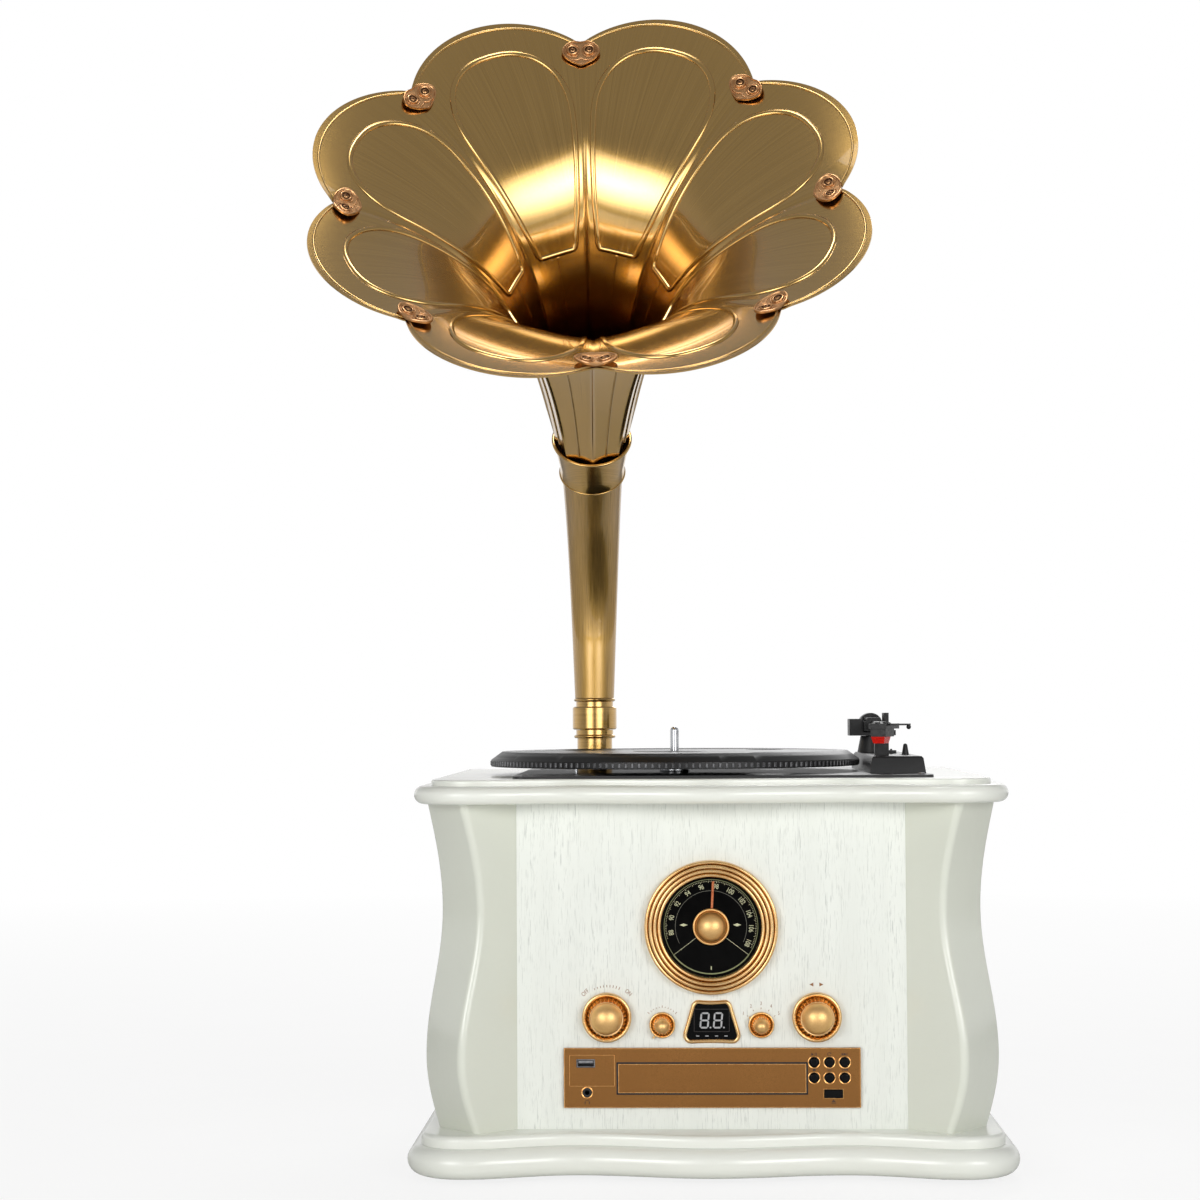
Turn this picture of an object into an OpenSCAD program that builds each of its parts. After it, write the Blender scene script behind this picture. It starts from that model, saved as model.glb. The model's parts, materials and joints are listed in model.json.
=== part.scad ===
// Music centre with a flower horn, a record player, an FM dial and a CD drawer.
// Millimetres. X to the right, Y to the back, Z up. The origin lies on the floor, under the
// middle of the whole object's box. The cabinet's own frame has x = 0 at the middle of the
// cabinet and y = 0 at the front panel's face, and place() moves it into the part's frame.

/* [Feet and plinth] */
// Height of a rubber foot
foot_h = 5; // [3:0.5:9]
// Diameter of a rubber foot
foot_d = 20; // [14:1:28]
// Distance between the left and the right feet
foot_span_x = 346; // [300:1:370]
// Distance between the front and the rear feet
foot_span_y = 330; // [260:1:340]
// Distance of the front feet behind the panel's face
foot_front_y = 0; // [-10:1:20]
// Height of the plinth
plinth_h = 31; // [24:1:45]
// Height of the plinth's large round edge
plinth_bull_h = 22; // [16:1:23]
// Width of the plinth
plinth_w = 456; // [450:1:480]
// Step of the plinth above its round edge
plinth_step = 10.5; // [6:0.5:14]
// Radius of the plinth's upper edge
plinth_edge_r = 4; // [2:0.5:5]

/* [Cabinet body] */
// Height of the body between the plinth and the top board
body_h = 244; // [235:1:280]
// Width of the front panel
panel_w = 292; // [285:1:300]
// Thickness of the front panel
panel_t = 12; // [9:0.5:16]
// Thickness of a side panel
side_t = 12; // [9:0.5:14]
// Half width of the body at the outside of the side panels
side_x = 198; // [195:1:200]
// Thickness of the back panel
back_t = 6; // [4:0.5:8]
// Distance of the back panel's outside behind the front panel's face
back_y = 338; // [334:1:340]
// Distance of the boards' rear edge behind the front panel's face
board_back_y = 350; // [349:1:360]
// Sideways place of a front post's ridge at its waist
ridge_x = 172; // [168:1:178]
// Forward reach of a front post's ridge at its waist
ridge_out = 22; // [18:1:26]
// Sideways place of a post's outer edge at its waist
post_outer_x = 203; // [202:0.5:206]
// Distance of a front post's outer edge behind the panel's face
post_outer_y = 13; // [8:1:20]
// Distance of a front post's rear face behind the panel's face
post_back_y = 40; // [30:1:50]
// Depth of a rear post
rear_post_d = 32; // [24:1:40]
// Swell of a post at its top
post_swell_top = 12.5; // [6:0.5:14]
// Swell of a post at its belly
post_swell_belly = 14; // [8:0.5:16]
// Swell of a post at its foot
post_swell_foot = 3; // [0:0.5:6]
// Height of the belly above the plinth
post_belly_h = 54; // [40:1:70]
// Height of the waist above the plinth
post_waist_h = 164; // [140:1:190]
// Diameter of a back screw's shank
screw_d = 4; // [3:0.5:5]
// Diameter of a back screw's head
screw_head_d = 8; // [7:0.5:10]
// Length of a back screw's shank
screw_l = 22; // [16:1:28]

/* [Serpentine boards] */
// Width of the top board
top_w = 445; // [440:1:460]
// Height of the top board's round edge
top_bull_h = 13.5; // [10:0.5:16]
// Height of the top board above its round edge
top_step_h = 4.5; // [3:0.5:8]
// Step of the top board above its round edge
top_step = 13; // [9:0.5:15]
// Radius of the boards' front corner lobes
lobe_r = 43; // [38:1:46]
// Forward reach of the corner lobes
lobe_out = 48; // [47:1:52]
// Forward reach of the boards' middle
middle_out = 44; // [40:1:50]
// Forward reach of the boards at the recess beside the middle
recess_out = 29; // [26:1:34]
// Sideways place of the recess
recess_x = 100; // [90:1:110]

/* [Record player] */
// Sideways place of the platter's spindle
platter_x = -27; // [-30:1:-26]
// Distance of the spindle behind the panel's face
platter_y = 145; // [143:1:147]
// Radius of the platter's toothed rim
platter_r = 148; // [144:0.5:149]
// Radius of the platter's flat top
platter_top_r = 139; // [134:0.5:140]
// Height of the platter's toothed rim
platter_rim_h = 5.3; // [4:0.1:6]
// Height of the slope above the rim
platter_slope_h = 6.5; // [6:0.1:8]
// Gap between the deck and the platter
platter_gap = 4.7; // [4.5:0.1:6]
// Thickness of the platter's top
platter_t = 3.5; // [3:0.1:4]
// Radius of the ring under the platter that the belt drives
drive_ring_r = 90; // [88:1:91]
// Width of that ring
drive_ring_w = 4; // [3:0.5:5]
// Radius of the holes in the platter
platter_hole_r = 17; // [14:0.5:18]
// Distance of those holes from the spindle
platter_hole_at = 106; // [104:1:108]
// Number of those holes
platter_holes = 4; // [2:1:6]
// Radius of the spindle
spindle_r = 3.5; // [3:0.05:3.6]
// Height of the spindle above the platter's top
spindle_up = 19.5; // [12:0.5:24]
// Radius of the bearing shaft under the spindle
bearing_r = 4; // [3.8:0.1:4.5]
// Thickness of the deck plate
deck_t = 2; // [1.5:0.1:3]
// Left edge of the deck plate
deck_x0 = -149; // [-152:1:-146]
// Right edge of the deck plate
deck_x1 = 168; // [167:1:172]
// Front edge of the deck plate, in front of the panel's face
deck_front = 5; // [2:1:8]
// Rear edge of the deck plate behind the panel's face
deck_back_y = 284; // [282:1:285]
// Radius of the deck plate's corners
deck_corner_r = 8; // [4:1:12]
// Radius of the motor
motor_r = 18; // [15:0.5:19]
// Height of the motor
motor_h = 32; // [24:1:36]
// Radius of the motor pulley
pulley_r = 6; // [5:0.1:7]
// Distance of the motor shaft from the spindle
pulley_at = 108; // [107:0.5:110]
// Radius of the motor shaft
motor_shaft_r = 1; // [0.8:0.1:1.2]
// Thickness of the belt
belt_t = 0.8; // [0.6:0.1:1]
// Height of the belt
belt_h = 4; // [3:0.1:4.2]

/* [Tonearm] */
// Sideways place of the tonearm's pivot
arm_x = 139; // [138:0.5:141]
// Distance of the tonearm's pivot behind the panel's face
arm_y = 236; // [232:1:238]
// Height of the tonearm's axis above the deck plate
arm_up = 36; // [35:0.5:38]
// Radius of the arm tube
arm_r = 3; // [2.5:0.1:3.5]
// Distance from the pivot to the headshell's hinge line
arm_l = 172; // [168:1:174]
// Width of the headshell
shell_w = 14; // [12:0.5:15]
// Length of the headshell
shell_l = 34; // [30:1:36]
// Height of the headshell
shell_h = 5; // [4:0.5:6]
// Angle of the headshell to the arm
shell_turn = 22; // [16:1:26]
// Height of the cartridge
cart_h = 6; // [5:0.5:7]
// Height of the stylus holder
stylus_h = 5.2; // [4:0.1:5.4]
// Height of the tonearm's base block
base_h = 13; // [11:0.5:15]
// Left edge of the base block
base_x0 = 123; // [122.5:0.5:125]
// Right edge of the base block
base_x1 = 166; // [163:0.5:167]
// Front edge of the base block behind the panel's face
base_y0 = 42; // [38:1:46]
// Rear edge of the base block behind the panel's face
base_y1 = 262; // [256:1:266]
// Slope of the base block's sides
base_slope = 2; // [1:0.5:3]
// Radius of the counterweight
weight_r = 10; // [8:0.5:10.5]
// Length of the counterweight
weight_l = 18; // [14:1:20]
// Radius of the yoke's upright pin
yoke_pin_r = 3; // [2.5:0.1:3.5]
// Radius of the arm's level pin
arm_pin_r = 1.5; // [1.2:0.1:1.8]

/* [Horn] */
// Sideways place of the horn's upright axis
horn_x = -97; // [-99:1:-95]
// Distance of the horn's upright axis behind the panel's face
horn_y = 310; // [308:1:312]
// Turn of the horn to the right, as it stands in the picture
horn_turn = 1.35; // [-2:0.05:4]
// Radius of the socket tube
socket_r = 15.25; // [15:0.05:15.5]
// Radius of the socket's bore
socket_bore_r = 13.05; // [12.5:0.05:13.2]
// Height of the socket tube above the board
socket_h = 27; // [24:1:30]
// Radius of the round beads
bead_r = 18; // [17:0.1:18.5]
// Height of a bead
bead_h = 3.2; // [2.6:0.1:3.6]
// Radius of the necks beside the beads
neck_r = 16.2; // [16:0.1:16.6]
// Height of a neck
neck_h = 4.3; // [3.5:0.1:5]
// Radius of the swivel ring
ring_r = 19.2; // [18.6:0.1:20]
// Height of the swivel ring
ring_h = 20; // [16:0.5:24]
// Depth of the swivel's spigot in the socket
spigot_h = 30; // [20:1:32]
// Depth of the swivel's spigot in the elbow
elbow_spigot_h = 14; // [8:1:16]
// Radius of the elbow at its foot
elbow_r0 = 17; // [16.8:0.1:17.6]
// Radius of the elbow at the collar
elbow_r1 = 25.8; // [25:0.1:28]
// Upright run of the elbow before its bend
elbow_rise = 46; // [40:1:60]
// Radius of the elbow's bend
elbow_bend_r = 155; // [140:1:170]
// Angle of the elbow's bend
elbow_bend = 50; // [44:0.5:56]
// Straight run of the elbow after its bend
elbow_run = 50; // [40:1:60]
// Wall of the elbow and the collar
tube_wall = 1.2; // [1:0.1:1.6]
// Length of the collar
collar_l = 29; // [24:1:34]
// Flare of the collar's radius over its length
collar_flare = 5; // [4.6:0.1:6]
// Length of the bell along its axis, to the ends of its seams
bell_l = 256; // [240:1:270]
// Radius of the bell at the ends of its seams
bell_r = 193; // [180:1:200]
// Radius of the bell at the tips of its petals
bell_tip_r = 221; // [210:1:230]
// Forward reach of the petals' tips past the ends of the seams
bell_tip_out = 10; // [4:1:14]
// Steady part of the bell's growth
bell_growth = 1.2; // [1.1:0.05:1.35]
// Power of the bell's flare
bell_power = 3.5; // [3:0.1:4]
// Turn of the petals about the bell's axis
bell_turn = 2; // [-4:0.5:4]
// Thickness of the petals' sheet
sheet_t = 1; // [0.8:0.1:1.4]
// Depth of the petals in the collar
bell_seat = 6; // [4:0.5:7]
// Number of petals
petals = 8; // [6:1:10]
// Width of a clip
clip_w = 31; // [26:1:34]
// Height of a clip
clip_h = 22; // [18:1:24]
// Thickness of a clip
clip_t = 1.5; // [1:0.1:2]
// Radius of a rivet
rivet_r = 4.2; // [3.5:0.1:5]
// Radius of the horn driver
driver_r = 20; // [17:0.5:21]
// Depth of the horn driver
driver_h = 46; // [40:1:52]

/* [Dial] */
// Height of the dial's centre above the floor
dial_z = 186.5; // [184:0.5:189]
// Diameter of the dial's bezel
dial_d = 100.5; // [96:0.5:104]
// Diameter of the dial's visible face
dial_face_d = 75; // [72:0.5:78]
// Forward reach of the bezel
dial_out = 9; // [6:0.5:12]
// Depth of the bezel's skirt in the panel
dial_skirt = 4; // [3:0.5:5]
// Wall of the bezel's skirt
dial_skirt_t = 3; // [2:0.5:4]
// Diameter of the dial's centre cap
dial_cap_d = 27.5; // [24:0.5:30]
// Forward reach of the centre cap
dial_cap_out = 10; // [7:0.5:12]
// Length of the needle from the dial's centre
needle_l = 34; // [30:0.5:36]
// Width of the needle
needle_w = 1.7; // [1.2:0.1:2.4]
// Turn of the needle to the right of upright
needle_turn = 3; // [-30:1:30]
// Radius of the groove of the needle's pulley
needle_pulley_r = 16; // [14:0.5:18]
// Radius of the groove of the tuning shaft's pulley
tuning_pulley_r = 5; // [4:0.1:6]

/* [Knobs] */
// Sideways place of the volume and tuning knobs
big_knob_x = 78.5; // [76:0.5:80]
// Height of the volume and tuning knobs
big_knob_z = 119.6; // [118.5:0.1:121]
// Diameter of the big knobs' base
big_knob_d = 37; // [34:0.5:38]
// Diameter of the big knobs' dome
big_dome_d = 23; // [21:0.5:25]
// Forward reach of the big knobs
big_knob_out = 25; // [20:0.5:28]
// Sideways place of the tone and source knobs
small_knob_x = 37; // [36:0.5:38]
// Height of the tone and source knobs
small_knob_z = 113.7; // [112:0.1:115]
// Diameter of the small knobs' base
small_knob_d = 19.5; // [18:0.5:21]
// Diameter of the small knobs' dome
small_dome_d = 10.5; // [9:0.5:12]
// Forward reach of the small knobs
small_knob_out = 17; // [14:0.5:20]
// Radius of the knobs' shafts
knob_shaft_r = 3; // [2.5:0.1:3.2]
// Radius of a pot's can
pot_r = 8.5; // [7:0.5:9]
// Depth of a pot's can
pot_h = 9; // [7:0.5:12]
// Radius of a pot's threaded bush
bush_r = 4.5; // [4:0.1:4.8]

/* [Display] */
// Height of the display's centre above the floor
display_z = 116; // [115:0.5:118]
// Width of the display's bezel at its foot
display_w = 43; // [40:0.5:44]
// Width of the display's bezel at its top
display_top_w = 31; // [28:0.5:34]
// Height of the display's bezel
display_h = 33; // [30:0.5:34]
// Width of the bezel's rim
display_rim = 3; // [2:0.1:3.5]
// Forward reach of the bezel
display_out = 3; // [2:0.5:5]
// Radius of the bezel's corners
display_corner_r = 6.5; // [5.5:0.1:7.5]

/* [CD drive] */
// Width of the fascia
fascia_w = 221.8; // [214:0.2:226]
// Height of the fascia
fascia_h = 44.4; // [42:0.2:46]
// Height of the fascia's centre above the floor
fascia_z = 74.4; // [73:0.1:76]
// Thickness of the fascia
fascia_t = 3; // [2.5:0.1:4]
// Width of the drawer's opening
door_w = 141.6; // [138:0.2:143]
// Height of the drawer's opening
door_h = 22.8; // [20:0.2:24]
// Height of the drawer's centre above the floor
door_z = 74; // [73.4:0.1:74.6]
// Thickness of the drawer's front
door_t = 2.8; // [2:0.1:3]
// Forward reach of the drawer's front past the fascia
door_proud = 0.4; // [0:0.1:1]
// Width of the drawer
tray_w = 128; // [126:1:130]
// Length of the drawer
tray_l = 146; // [142:1:150]
// Thickness of the drawer
tray_t = 5.6; // [4.6:0.1:6]
// Diameter of the drawer's seat for the disc
disc_d = 121; // [120.5:0.1:122]
// Depth of that seat
disc_seat = 2.2; // [1.5:0.1:2.6]
// Wall of the drive's case
drive_wall = 1.5; // [1.2:0.1:2]
// Height of the drive's case
drive_h = 32; // [30:0.5:34]
// Length of the drive's case
drive_l = 160; // [156:1:170]
// Diameter of a round button
button_d = 7.5; // [6.5:0.1:8]
// Sideways place of the middle column of buttons
button_x = 87.6; // [87:0.1:88]
// Distance between the columns of buttons
button_pitch_x = 11.4; // [10.5:0.1:11.8]
// Height of the lower row of buttons above the floor
button_z = 74.4; // [73:0.1:75]
// Distance between the rows of buttons
button_pitch_z = 11.5; // [10.5:0.1:12]
// Travel of a button
button_travel = 0.8; // [0.5:0.1:1]
// Forward reach of a button past the fascia
button_out = 1.4; // [1.1:0.1:2]
// Width of the open and close button
open_w = 13.7; // [11:0.1:15]
// Height of the open and close button
open_h = 6; // [5:0.1:7]
// Sideways place of the open and close button
open_x = 90.5; // [88:0.1:92]
// Height of the open and close button above the floor
open_z = 62.6; // [61:0.1:63]
// Width of the USB socket's slot
usb_w = 14; // [13.6:0.1:14.6]
// Height of the USB socket's slot
usb_h = 6.3; // [6.2:0.1:7]
// Sideways place of the USB socket
usb_x = -94.5; // [-96:0.1:-93]
// Height of the USB socket above the floor
usb_z = 85.2; // [84:0.1:86]
// Diameter of the headphone socket's bush
jack_d = 7; // [6.4:0.1:8]
// Radius of the headphone socket's bore
jack_bore_r = 1.8; // [1.76:0.01:1.84]
// Sideways place of the headphone socket
jack_x = -93.5; // [-96:0.1:-92]
// Height of the headphone socket above the floor
jack_z = 63.5; // [62:0.1:65]

/* [Speakers and electronics] */
// Radius of a side speaker
speaker_r = 46; // [40:1:50]
// Depth of a side speaker
speaker_h = 40; // [34:1:46]
// Distance of the side speakers behind the panel's face
speaker_y = 215; // [200:1:230]
// Height of the side speakers above the floor
speaker_z = 165; // [150:1:185]
// Width of a grille slot
slot_w = 5; // [4.2:0.1:6]
// Distance between grille slots
slot_pitch = 10; // [9:0.5:12]
// Length of the main board
board_l = 150; // [120:1:160]
// Depth of the main board
board_d = 90; // [70:1:100]
// Height of the main board's posts
standoff_h = 8; // [6:0.5:12]
// Width of the transformer
trafo_w = 60; // [50:1:66]
// Height of the transformer
trafo_h = 50; // [40:1:56]
// Radius of a line output's barrel
rca_r = 4.15; // [4.1:0.01:4.2]
// Length of a line output's barrel
rca_l = 9; // [7:0.5:10]

/* [Clearances] */
// Gap between fixed parts that are pushed together
fit_gap = 0.1; // [0.05:0.05:0.2]
// Gap between parts that pass each other
pass_gap = 0.3; // [0.2:0.05:0.4]
// Radial clearance of a shaft in its bore
run_gap = 0.05; // [0.02:0.01:0.09]

/* [Hidden] */
$fn = 64;
white = [0.93, 0.94, 0.90];
gold = [0.80, 0.62, 0.34];
rose_gold = [0.83, 0.60, 0.38];
bronze = [0.62, 0.42, 0.22];
black = [0.07, 0.07, 0.08];
steel = [0.72, 0.73, 0.75];
red = [0.90, 0.10, 0.06];
green = [0.10, 0.35, 0.20];
cut = 1;

plinth_top = foot_h + plinth_h;
body_top = plinth_top + body_h;
bull_top = body_top + top_bull_h;
board_top = bull_top + top_step_h;
deck_top = board_top + deck_t;
board_t = board_top - body_top;
side_in = side_x - side_t;
rear_post_y0 = back_y - back_t - rear_post_d;
rear_post_y1 = back_y - back_t;
post_in_x = side_in - 2;
lobe_y = lobe_r - lobe_out;
fascia_front = -fascia_t;
fascia_z0 = fascia_z - fascia_h / 2;

// Forward edge of a serpentine board of width w, as Y against X
function front_y(x, w) =
    let (ax = abs(x), lobe_x = w / 2 - lobe_r)
    ax <= recess_x
    ? -recess_out - (middle_out - recess_out) * (1 + cos(180 * ax / recess_x)) / 2
    : -recess_out - (lobe_out - recess_out) * (1 - cos(180 * (ax - recess_x) / (lobe_x - recess_x))) / 2;

// Right half of a board's outline, from the middle to the rear corner
function board_half(w, y1) =
    let (lobe_x = w / 2 - lobe_r)
    concat(
        [for (i = [0:8]) let (x = recess_x * i / 8) [x, front_y(x, w)]],
        [for (i = [1:6]) let (x = recess_x + (lobe_x - recess_x) * i / 6) [x, front_y(x, w)]],
        [for (i = [1:8]) let (a = 90 * i / 8) [lobe_x + lobe_r * sin(a), lobe_y - lobe_r * cos(a)]],
        [[w / 2, y1]]);

function board_outline(w, y1) =
    let (half = board_half(w, y1), n = len(half))
    concat([for (i = [n - 1:-1:1]) [-half[i].x, half[i].y]], half);

// The same outline drawn in by d, square to its edge, with the rear edge kept in place
function drawn_in(path, d) =
    let (n = len(path))
    [for (i = [0:n - 1])
        let (t = i == 0 ? [0, -1] : i == n - 1 ? [0, 1] : path[i + 1] - path[i - 1],
             u = t / norm(t))
        [path[i].x - d * u.y, path[i].y + d * u.x]];

// Solid between rings of equal length, the first and the last of which it closes
module skin(rings) {
    n = len(rings[0]);
    m = len(rings);
    faces = concat(
        [[for (i = [0:n - 1]) i]],
        [[for (i = [n - 1:-1:0]) (m - 1) * n + i]],
        [for (j = [0:m - 2], i = [0:n - 1])
            let (k = (i + 1) % n) [j * n + i, (j + 1) * n + i, (j + 1) * n + k]],
        [for (j = [0:m - 2], i = [0:n - 1])
            let (k = (i + 1) % n) [j * n + i, (j + 1) * n + k, j * n + k]]);
    polyhedron(points = [for (r = rings) each r], faces = faces, convexity = 6);
}

module moulded_board(w, profile) {
    path = board_outline(w, board_back_y);
    skin([for (p = profile) [for (q = drawn_in(path, p[0])) [q.x, q.y, p[1]]]]);
}

// Half round edge of height h that starts at z, as pairs of inset and height
function bull_profile(z, h) =
    [for (i = [0:8]) let (a = -90 + 180 * i / 8) [h / 2 * (1 - cos(a)), z + h / 2 * (1 + sin(a))]];

// Swell of the posts at a height above the plinth
function swell(h) =
    h < post_belly_h
    ? post_swell_foot + (post_swell_belly - post_swell_foot) * sin(90 * h / post_belly_h)
    : h < post_waist_h
    ? post_swell_belly * (1 + cos(180 * (h - post_belly_h) / (post_waist_h - post_belly_h))) / 2
    : post_swell_top * (1 - cos(90 * (h - post_waist_h) / (body_h - post_waist_h)));

module place() { translate([-origin_x, -origin_y, 0]) children(); }

// Children's Z comes out of the front panel at x, z
module on_front(x, z, y = 0) { translate([x, y, z]) rotate([90, 0, 0]) children(); }

module tube(r, bore, h) {
    difference() {
        cylinder(r = r, h = h);
        translate([0, 0, -cut]) cylinder(r = bore, h = h + 2 * cut);
    }
}

module mirror_pair() {
    children();
    mirror([1, 0, 0]) children();
}

// Horn: its own frame has the upright axis at 0, forward as -Y
bead_z = board_top + socket_h;
socket_top = bead_z + bead_h + neck_h - pass_gap;
ring_z = socket_top + pass_gap;
upper_neck_z = ring_z + ring_h;
upper_bead_z = upper_neck_z + neck_h;
elbow_z = upper_bead_z + bead_h;
bend_z = elbow_z + elbow_rise;
elev = 90 - elbow_bend;
run_y = -elbow_bend_r * (1 - cos(elbow_bend));
run_z = bend_z + elbow_bend_r * sin(elbow_bend);
collar_y = run_y - elbow_run * cos(elev);
collar_z = run_z + elbow_run * sin(elev);
bell_y = collar_y - collar_l * cos(elev);
bell_z = collar_z + collar_l * sin(elev);
bend_len = elbow_bend_r * elbow_bend * PI / 180;
elbow_len = elbow_rise + bend_len + elbow_run;
collar_r0 = elbow_r1 + fit_gap + tube_wall;
collar_r1 = collar_r0 + collar_flare;
throat_r = collar_r1 - tube_wall - pass_gap;
bell_flare = ln(bell_r / throat_r) - bell_growth;

half_a = 180 / petals;
chord = bell_r * sin(half_a);
sagitta = bell_tip_r - bell_r * cos(half_a);
tip_arc_r = (chord * chord + sagitta * sagitta) / (2 * sagitta);
tip_arc_a = asin(chord / tip_arc_r);
petal_gap_a = 0.02;
petal_late = 3;
across = 10;
along = 13;

function seam_r(t) = throat_r * exp(bell_growth * t + bell_flare * pow(max(t, 0), bell_power));
function seam_slope(t) =
    seam_r(t) * (bell_growth + bell_flare * bell_power * pow(max(t, 0), bell_power - 1)) / bell_l;
// Place along the bell of row j, closer together towards the mouth
function row_t(j) =
    let (t0 = -bell_seat / bell_l) t0 + (1 - t0) * (1 - pow(1 - j / along, 1.6));

// Point of a petal in the bell's frame: u from -1 to 1 across it, t along the bell. A petal is
// nearly flat across in the throat and bulges towards the rim by the power petal_late.
function petal_point(k, u, t, inside) =
    let (r = seam_r(t),
         w = pow(max(0, (r - throat_r) / (bell_r - throat_r)), petal_late),
         c = (cos(tip_arc_a * u) - cos(tip_arc_a)) / (1 - cos(tip_arc_a)),
         side = r * sin(half_a - petal_gap_a) * sin(tip_arc_a * u) / sin(tip_arc_a),
         out = r * cos(half_a) + sagitta * w * c,
         reach = norm([side, out]),
         slope = atan(seam_slope(t)),
         rr = reach - (inside ? sheet_t * cos(slope) : 0),
         aa = bell_l * t + bell_tip_out * w * c + (inside ? sheet_t * sin(slope) : 0),
         a = half_a * (2 * k + 1) + atan2(side, out))
    [rr * cos(a), rr * sin(a), aa];

// A point of the bell's frame in the cabinet's frame
function bell_to_cabinet(p) =
    let (right = p.x * cos(bell_turn) - p.y * sin(bell_turn),
         upward = p.x * sin(bell_turn) + p.y * cos(bell_turn),
         y = upward * cos(elbow_bend) - p.z * sin(elbow_bend) + bell_y,
         z = upward * sin(elbow_bend) + p.z * cos(elbow_bend) + bell_z)
    [horn_x + right * cos(horn_turn) - y * sin(horn_turn),
     horn_y + right * sin(horn_turn) + y * cos(horn_turn), z];

rim_points = [for (k = [0:petals - 1], i = [0:across], s = [true, false])
    bell_to_cabinet(petal_point(k, 2 * i / across - 1, 1, s))];
box_x0 = min([for (p = rim_points) p.x]);
box_x1 = max(plinth_w / 2, max([for (p = rim_points) p.x]));
box_y0 = min(-lobe_out, min([for (p = rim_points) p.y]));
origin_x = (min(box_x0, -plinth_w / 2) + box_x1) / 2;
origin_y = (box_y0 + board_back_y) / 2;

module horn_frame() { translate([horn_x, horn_y, 0]) rotate([0, 0, horn_turn]) children(); }
module bell_frame() {
    horn_frame() translate([0, bell_y, bell_z]) rotate([elbow_bend, 0, 0])
        rotate([0, 0, bell_turn]) children();
}

// Record player
platter_z = deck_top + platter_gap;
platter_top = platter_z + platter_rim_h + platter_slope_h;
ring_top = platter_top - platter_t;
motor_a = 225;
motor_x = platter_x + pulley_at * cos(motor_a);
motor_y = platter_y + pulley_at * sin(motor_a);
hub_r = 12;
boss_h = 2.7;
spindle_down = 22;
belt_z = platter_z + 1.4;
arm_z = deck_top + arm_up;
base_top = deck_top + base_h;
yoke_floor = arm_z - 9;
yoke_left = 20;
yoke_right = 13;
yoke_d = 28;
block_w = 17;
shell_y = arm_y - arm_l;
cue_x = base_x0 + 32;
cue_y = base_y0 + 58;
cue_z = deck_top + 7.5;
cue_pin_r = 1.3;
cue_h = 16;
switch_x = base_x0 + 25;
switch_y = base_y0 + 108;
switch_travel = 12;
rest_x = arm_x - 4;
rest_y = base_y0 + 40;

// Back and inside
screw_x = side_in + 7;
screw_zs = [plinth_top + 24, plinth_top + body_h / 2, body_top - 24];
deck_screw_in = 9;
deck_screws = [for (x = [deck_x0 + deck_screw_in, deck_x1 - deck_screw_in],
    y = [deck_screw_in - deck_front, deck_back_y - deck_screw_in]) [x, y]];
deck_screw_r = 1.5;
deck_screw_l = 12;
inlet_x = -120;
inlet_z = plinth_top + 34;
inlet_w = 26;
inlet_h = 15;
rca_x = 60;
rca_pitch = 18;
rca_z = plinth_top + 34;
board_x = -60;
board_y = 195;
trafo_x = -165;
trafo_y = 215;
plug_w = display_w - 2 * display_rim - 10;
plug_h = 16;
door_back = fascia_front - door_proud + door_t;
button_tail = panel_t + 1.6;

// Dial drive behind the panel
dial_shaft_r = 3;
needle_gap = 0.4;
needle_t = 0.8;
string_y = panel_t + 7;
groove_w = 2.6;
flange_t = 1.2;
capacitor_y = string_y + groove_w / 2 + flange_t + 1;

// Sideways place and height of round button i, in two rows of three
function button_place(i) =
    [button_x + (i % 3 - 1) * button_pitch_x, button_z + (i < 3 ? button_pitch_z : 0)];

module feet() {
    color(black) place()
        for (x = [-1, 1] * foot_span_x / 2, y = [0, 1] * foot_span_y + [foot_front_y, foot_front_y])
            translate([x, y, 0]) {
                cylinder(d1 = foot_d - 2, d2 = foot_d, h = 1);
                translate([0, 0, 1]) cylinder(d = foot_d, h = foot_h - 1);
            }
}

module plinth() {
    step_z = foot_h + plinth_bull_h;
    rise = plinth_h - plinth_bull_h;
    profile = concat(
        bull_profile(foot_h, plinth_bull_h),
        [[plinth_step, step_z + 0.01], [plinth_step, plinth_top - plinth_edge_r]],
        [for (i = [1:4]) let (a = 90 * i / 4)
            [plinth_step + plinth_edge_r * (1 - cos(a)), plinth_top - plinth_edge_r * (1 - sin(a))]]);
    color(white) place() moulded_board(plinth_w, profile);
}

module top_board() {
    edge = 1.5;
    profile = concat(
        bull_profile(body_top, top_bull_h),
        [[top_step, bull_top + 0.01], [top_step, board_top - edge]],
        [for (i = [1:3]) let (a = 90 * i / 3)
            [top_step + edge * (1 - cos(a)), board_top - edge * (1 - sin(a))]]);
    color(white) place() difference() {
        moulded_board(top_w, profile);
        for (h = [[horn_x, horn_y, socket_r + fit_gap], [motor_x, motor_y, motor_r + 1],
            [platter_x, platter_y, hub_r]])
            translate([h.x, h.y, body_top - cut]) cylinder(r = h.z, h = board_t + 2 * cut);
        for (p = deck_screws)
            translate([p.x, p.y, deck_top - deck_screw_l - cut])
                cylinder(r = deck_screw_r + run_gap, h = deck_screw_l + 2 * cut);
    }
}

// Front corner post on the right: ridge, outer edge and flat inner faces, at each height
module front_post() {
    steps = 18;
    rings = [for (i = [0:steps])
        let (h = body_h * i / steps, b = swell(h), z = plinth_top + h)
        [[panel_w / 2, 0, z], [ridge_x + b - 1.5, -ridge_out - b + 0.6, z],
         [ridge_x + b, -ridge_out - b, z], [ridge_x + b + 1.5, -ridge_out - b + 1, z],
         [post_outer_x + 0.9 * b, post_outer_y, z], [post_outer_x + 0.9 * b, post_back_y, z],
         [post_in_x, post_back_y, z], [panel_w / 2, panel_t, z]]];
    skin(rings);
}

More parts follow.
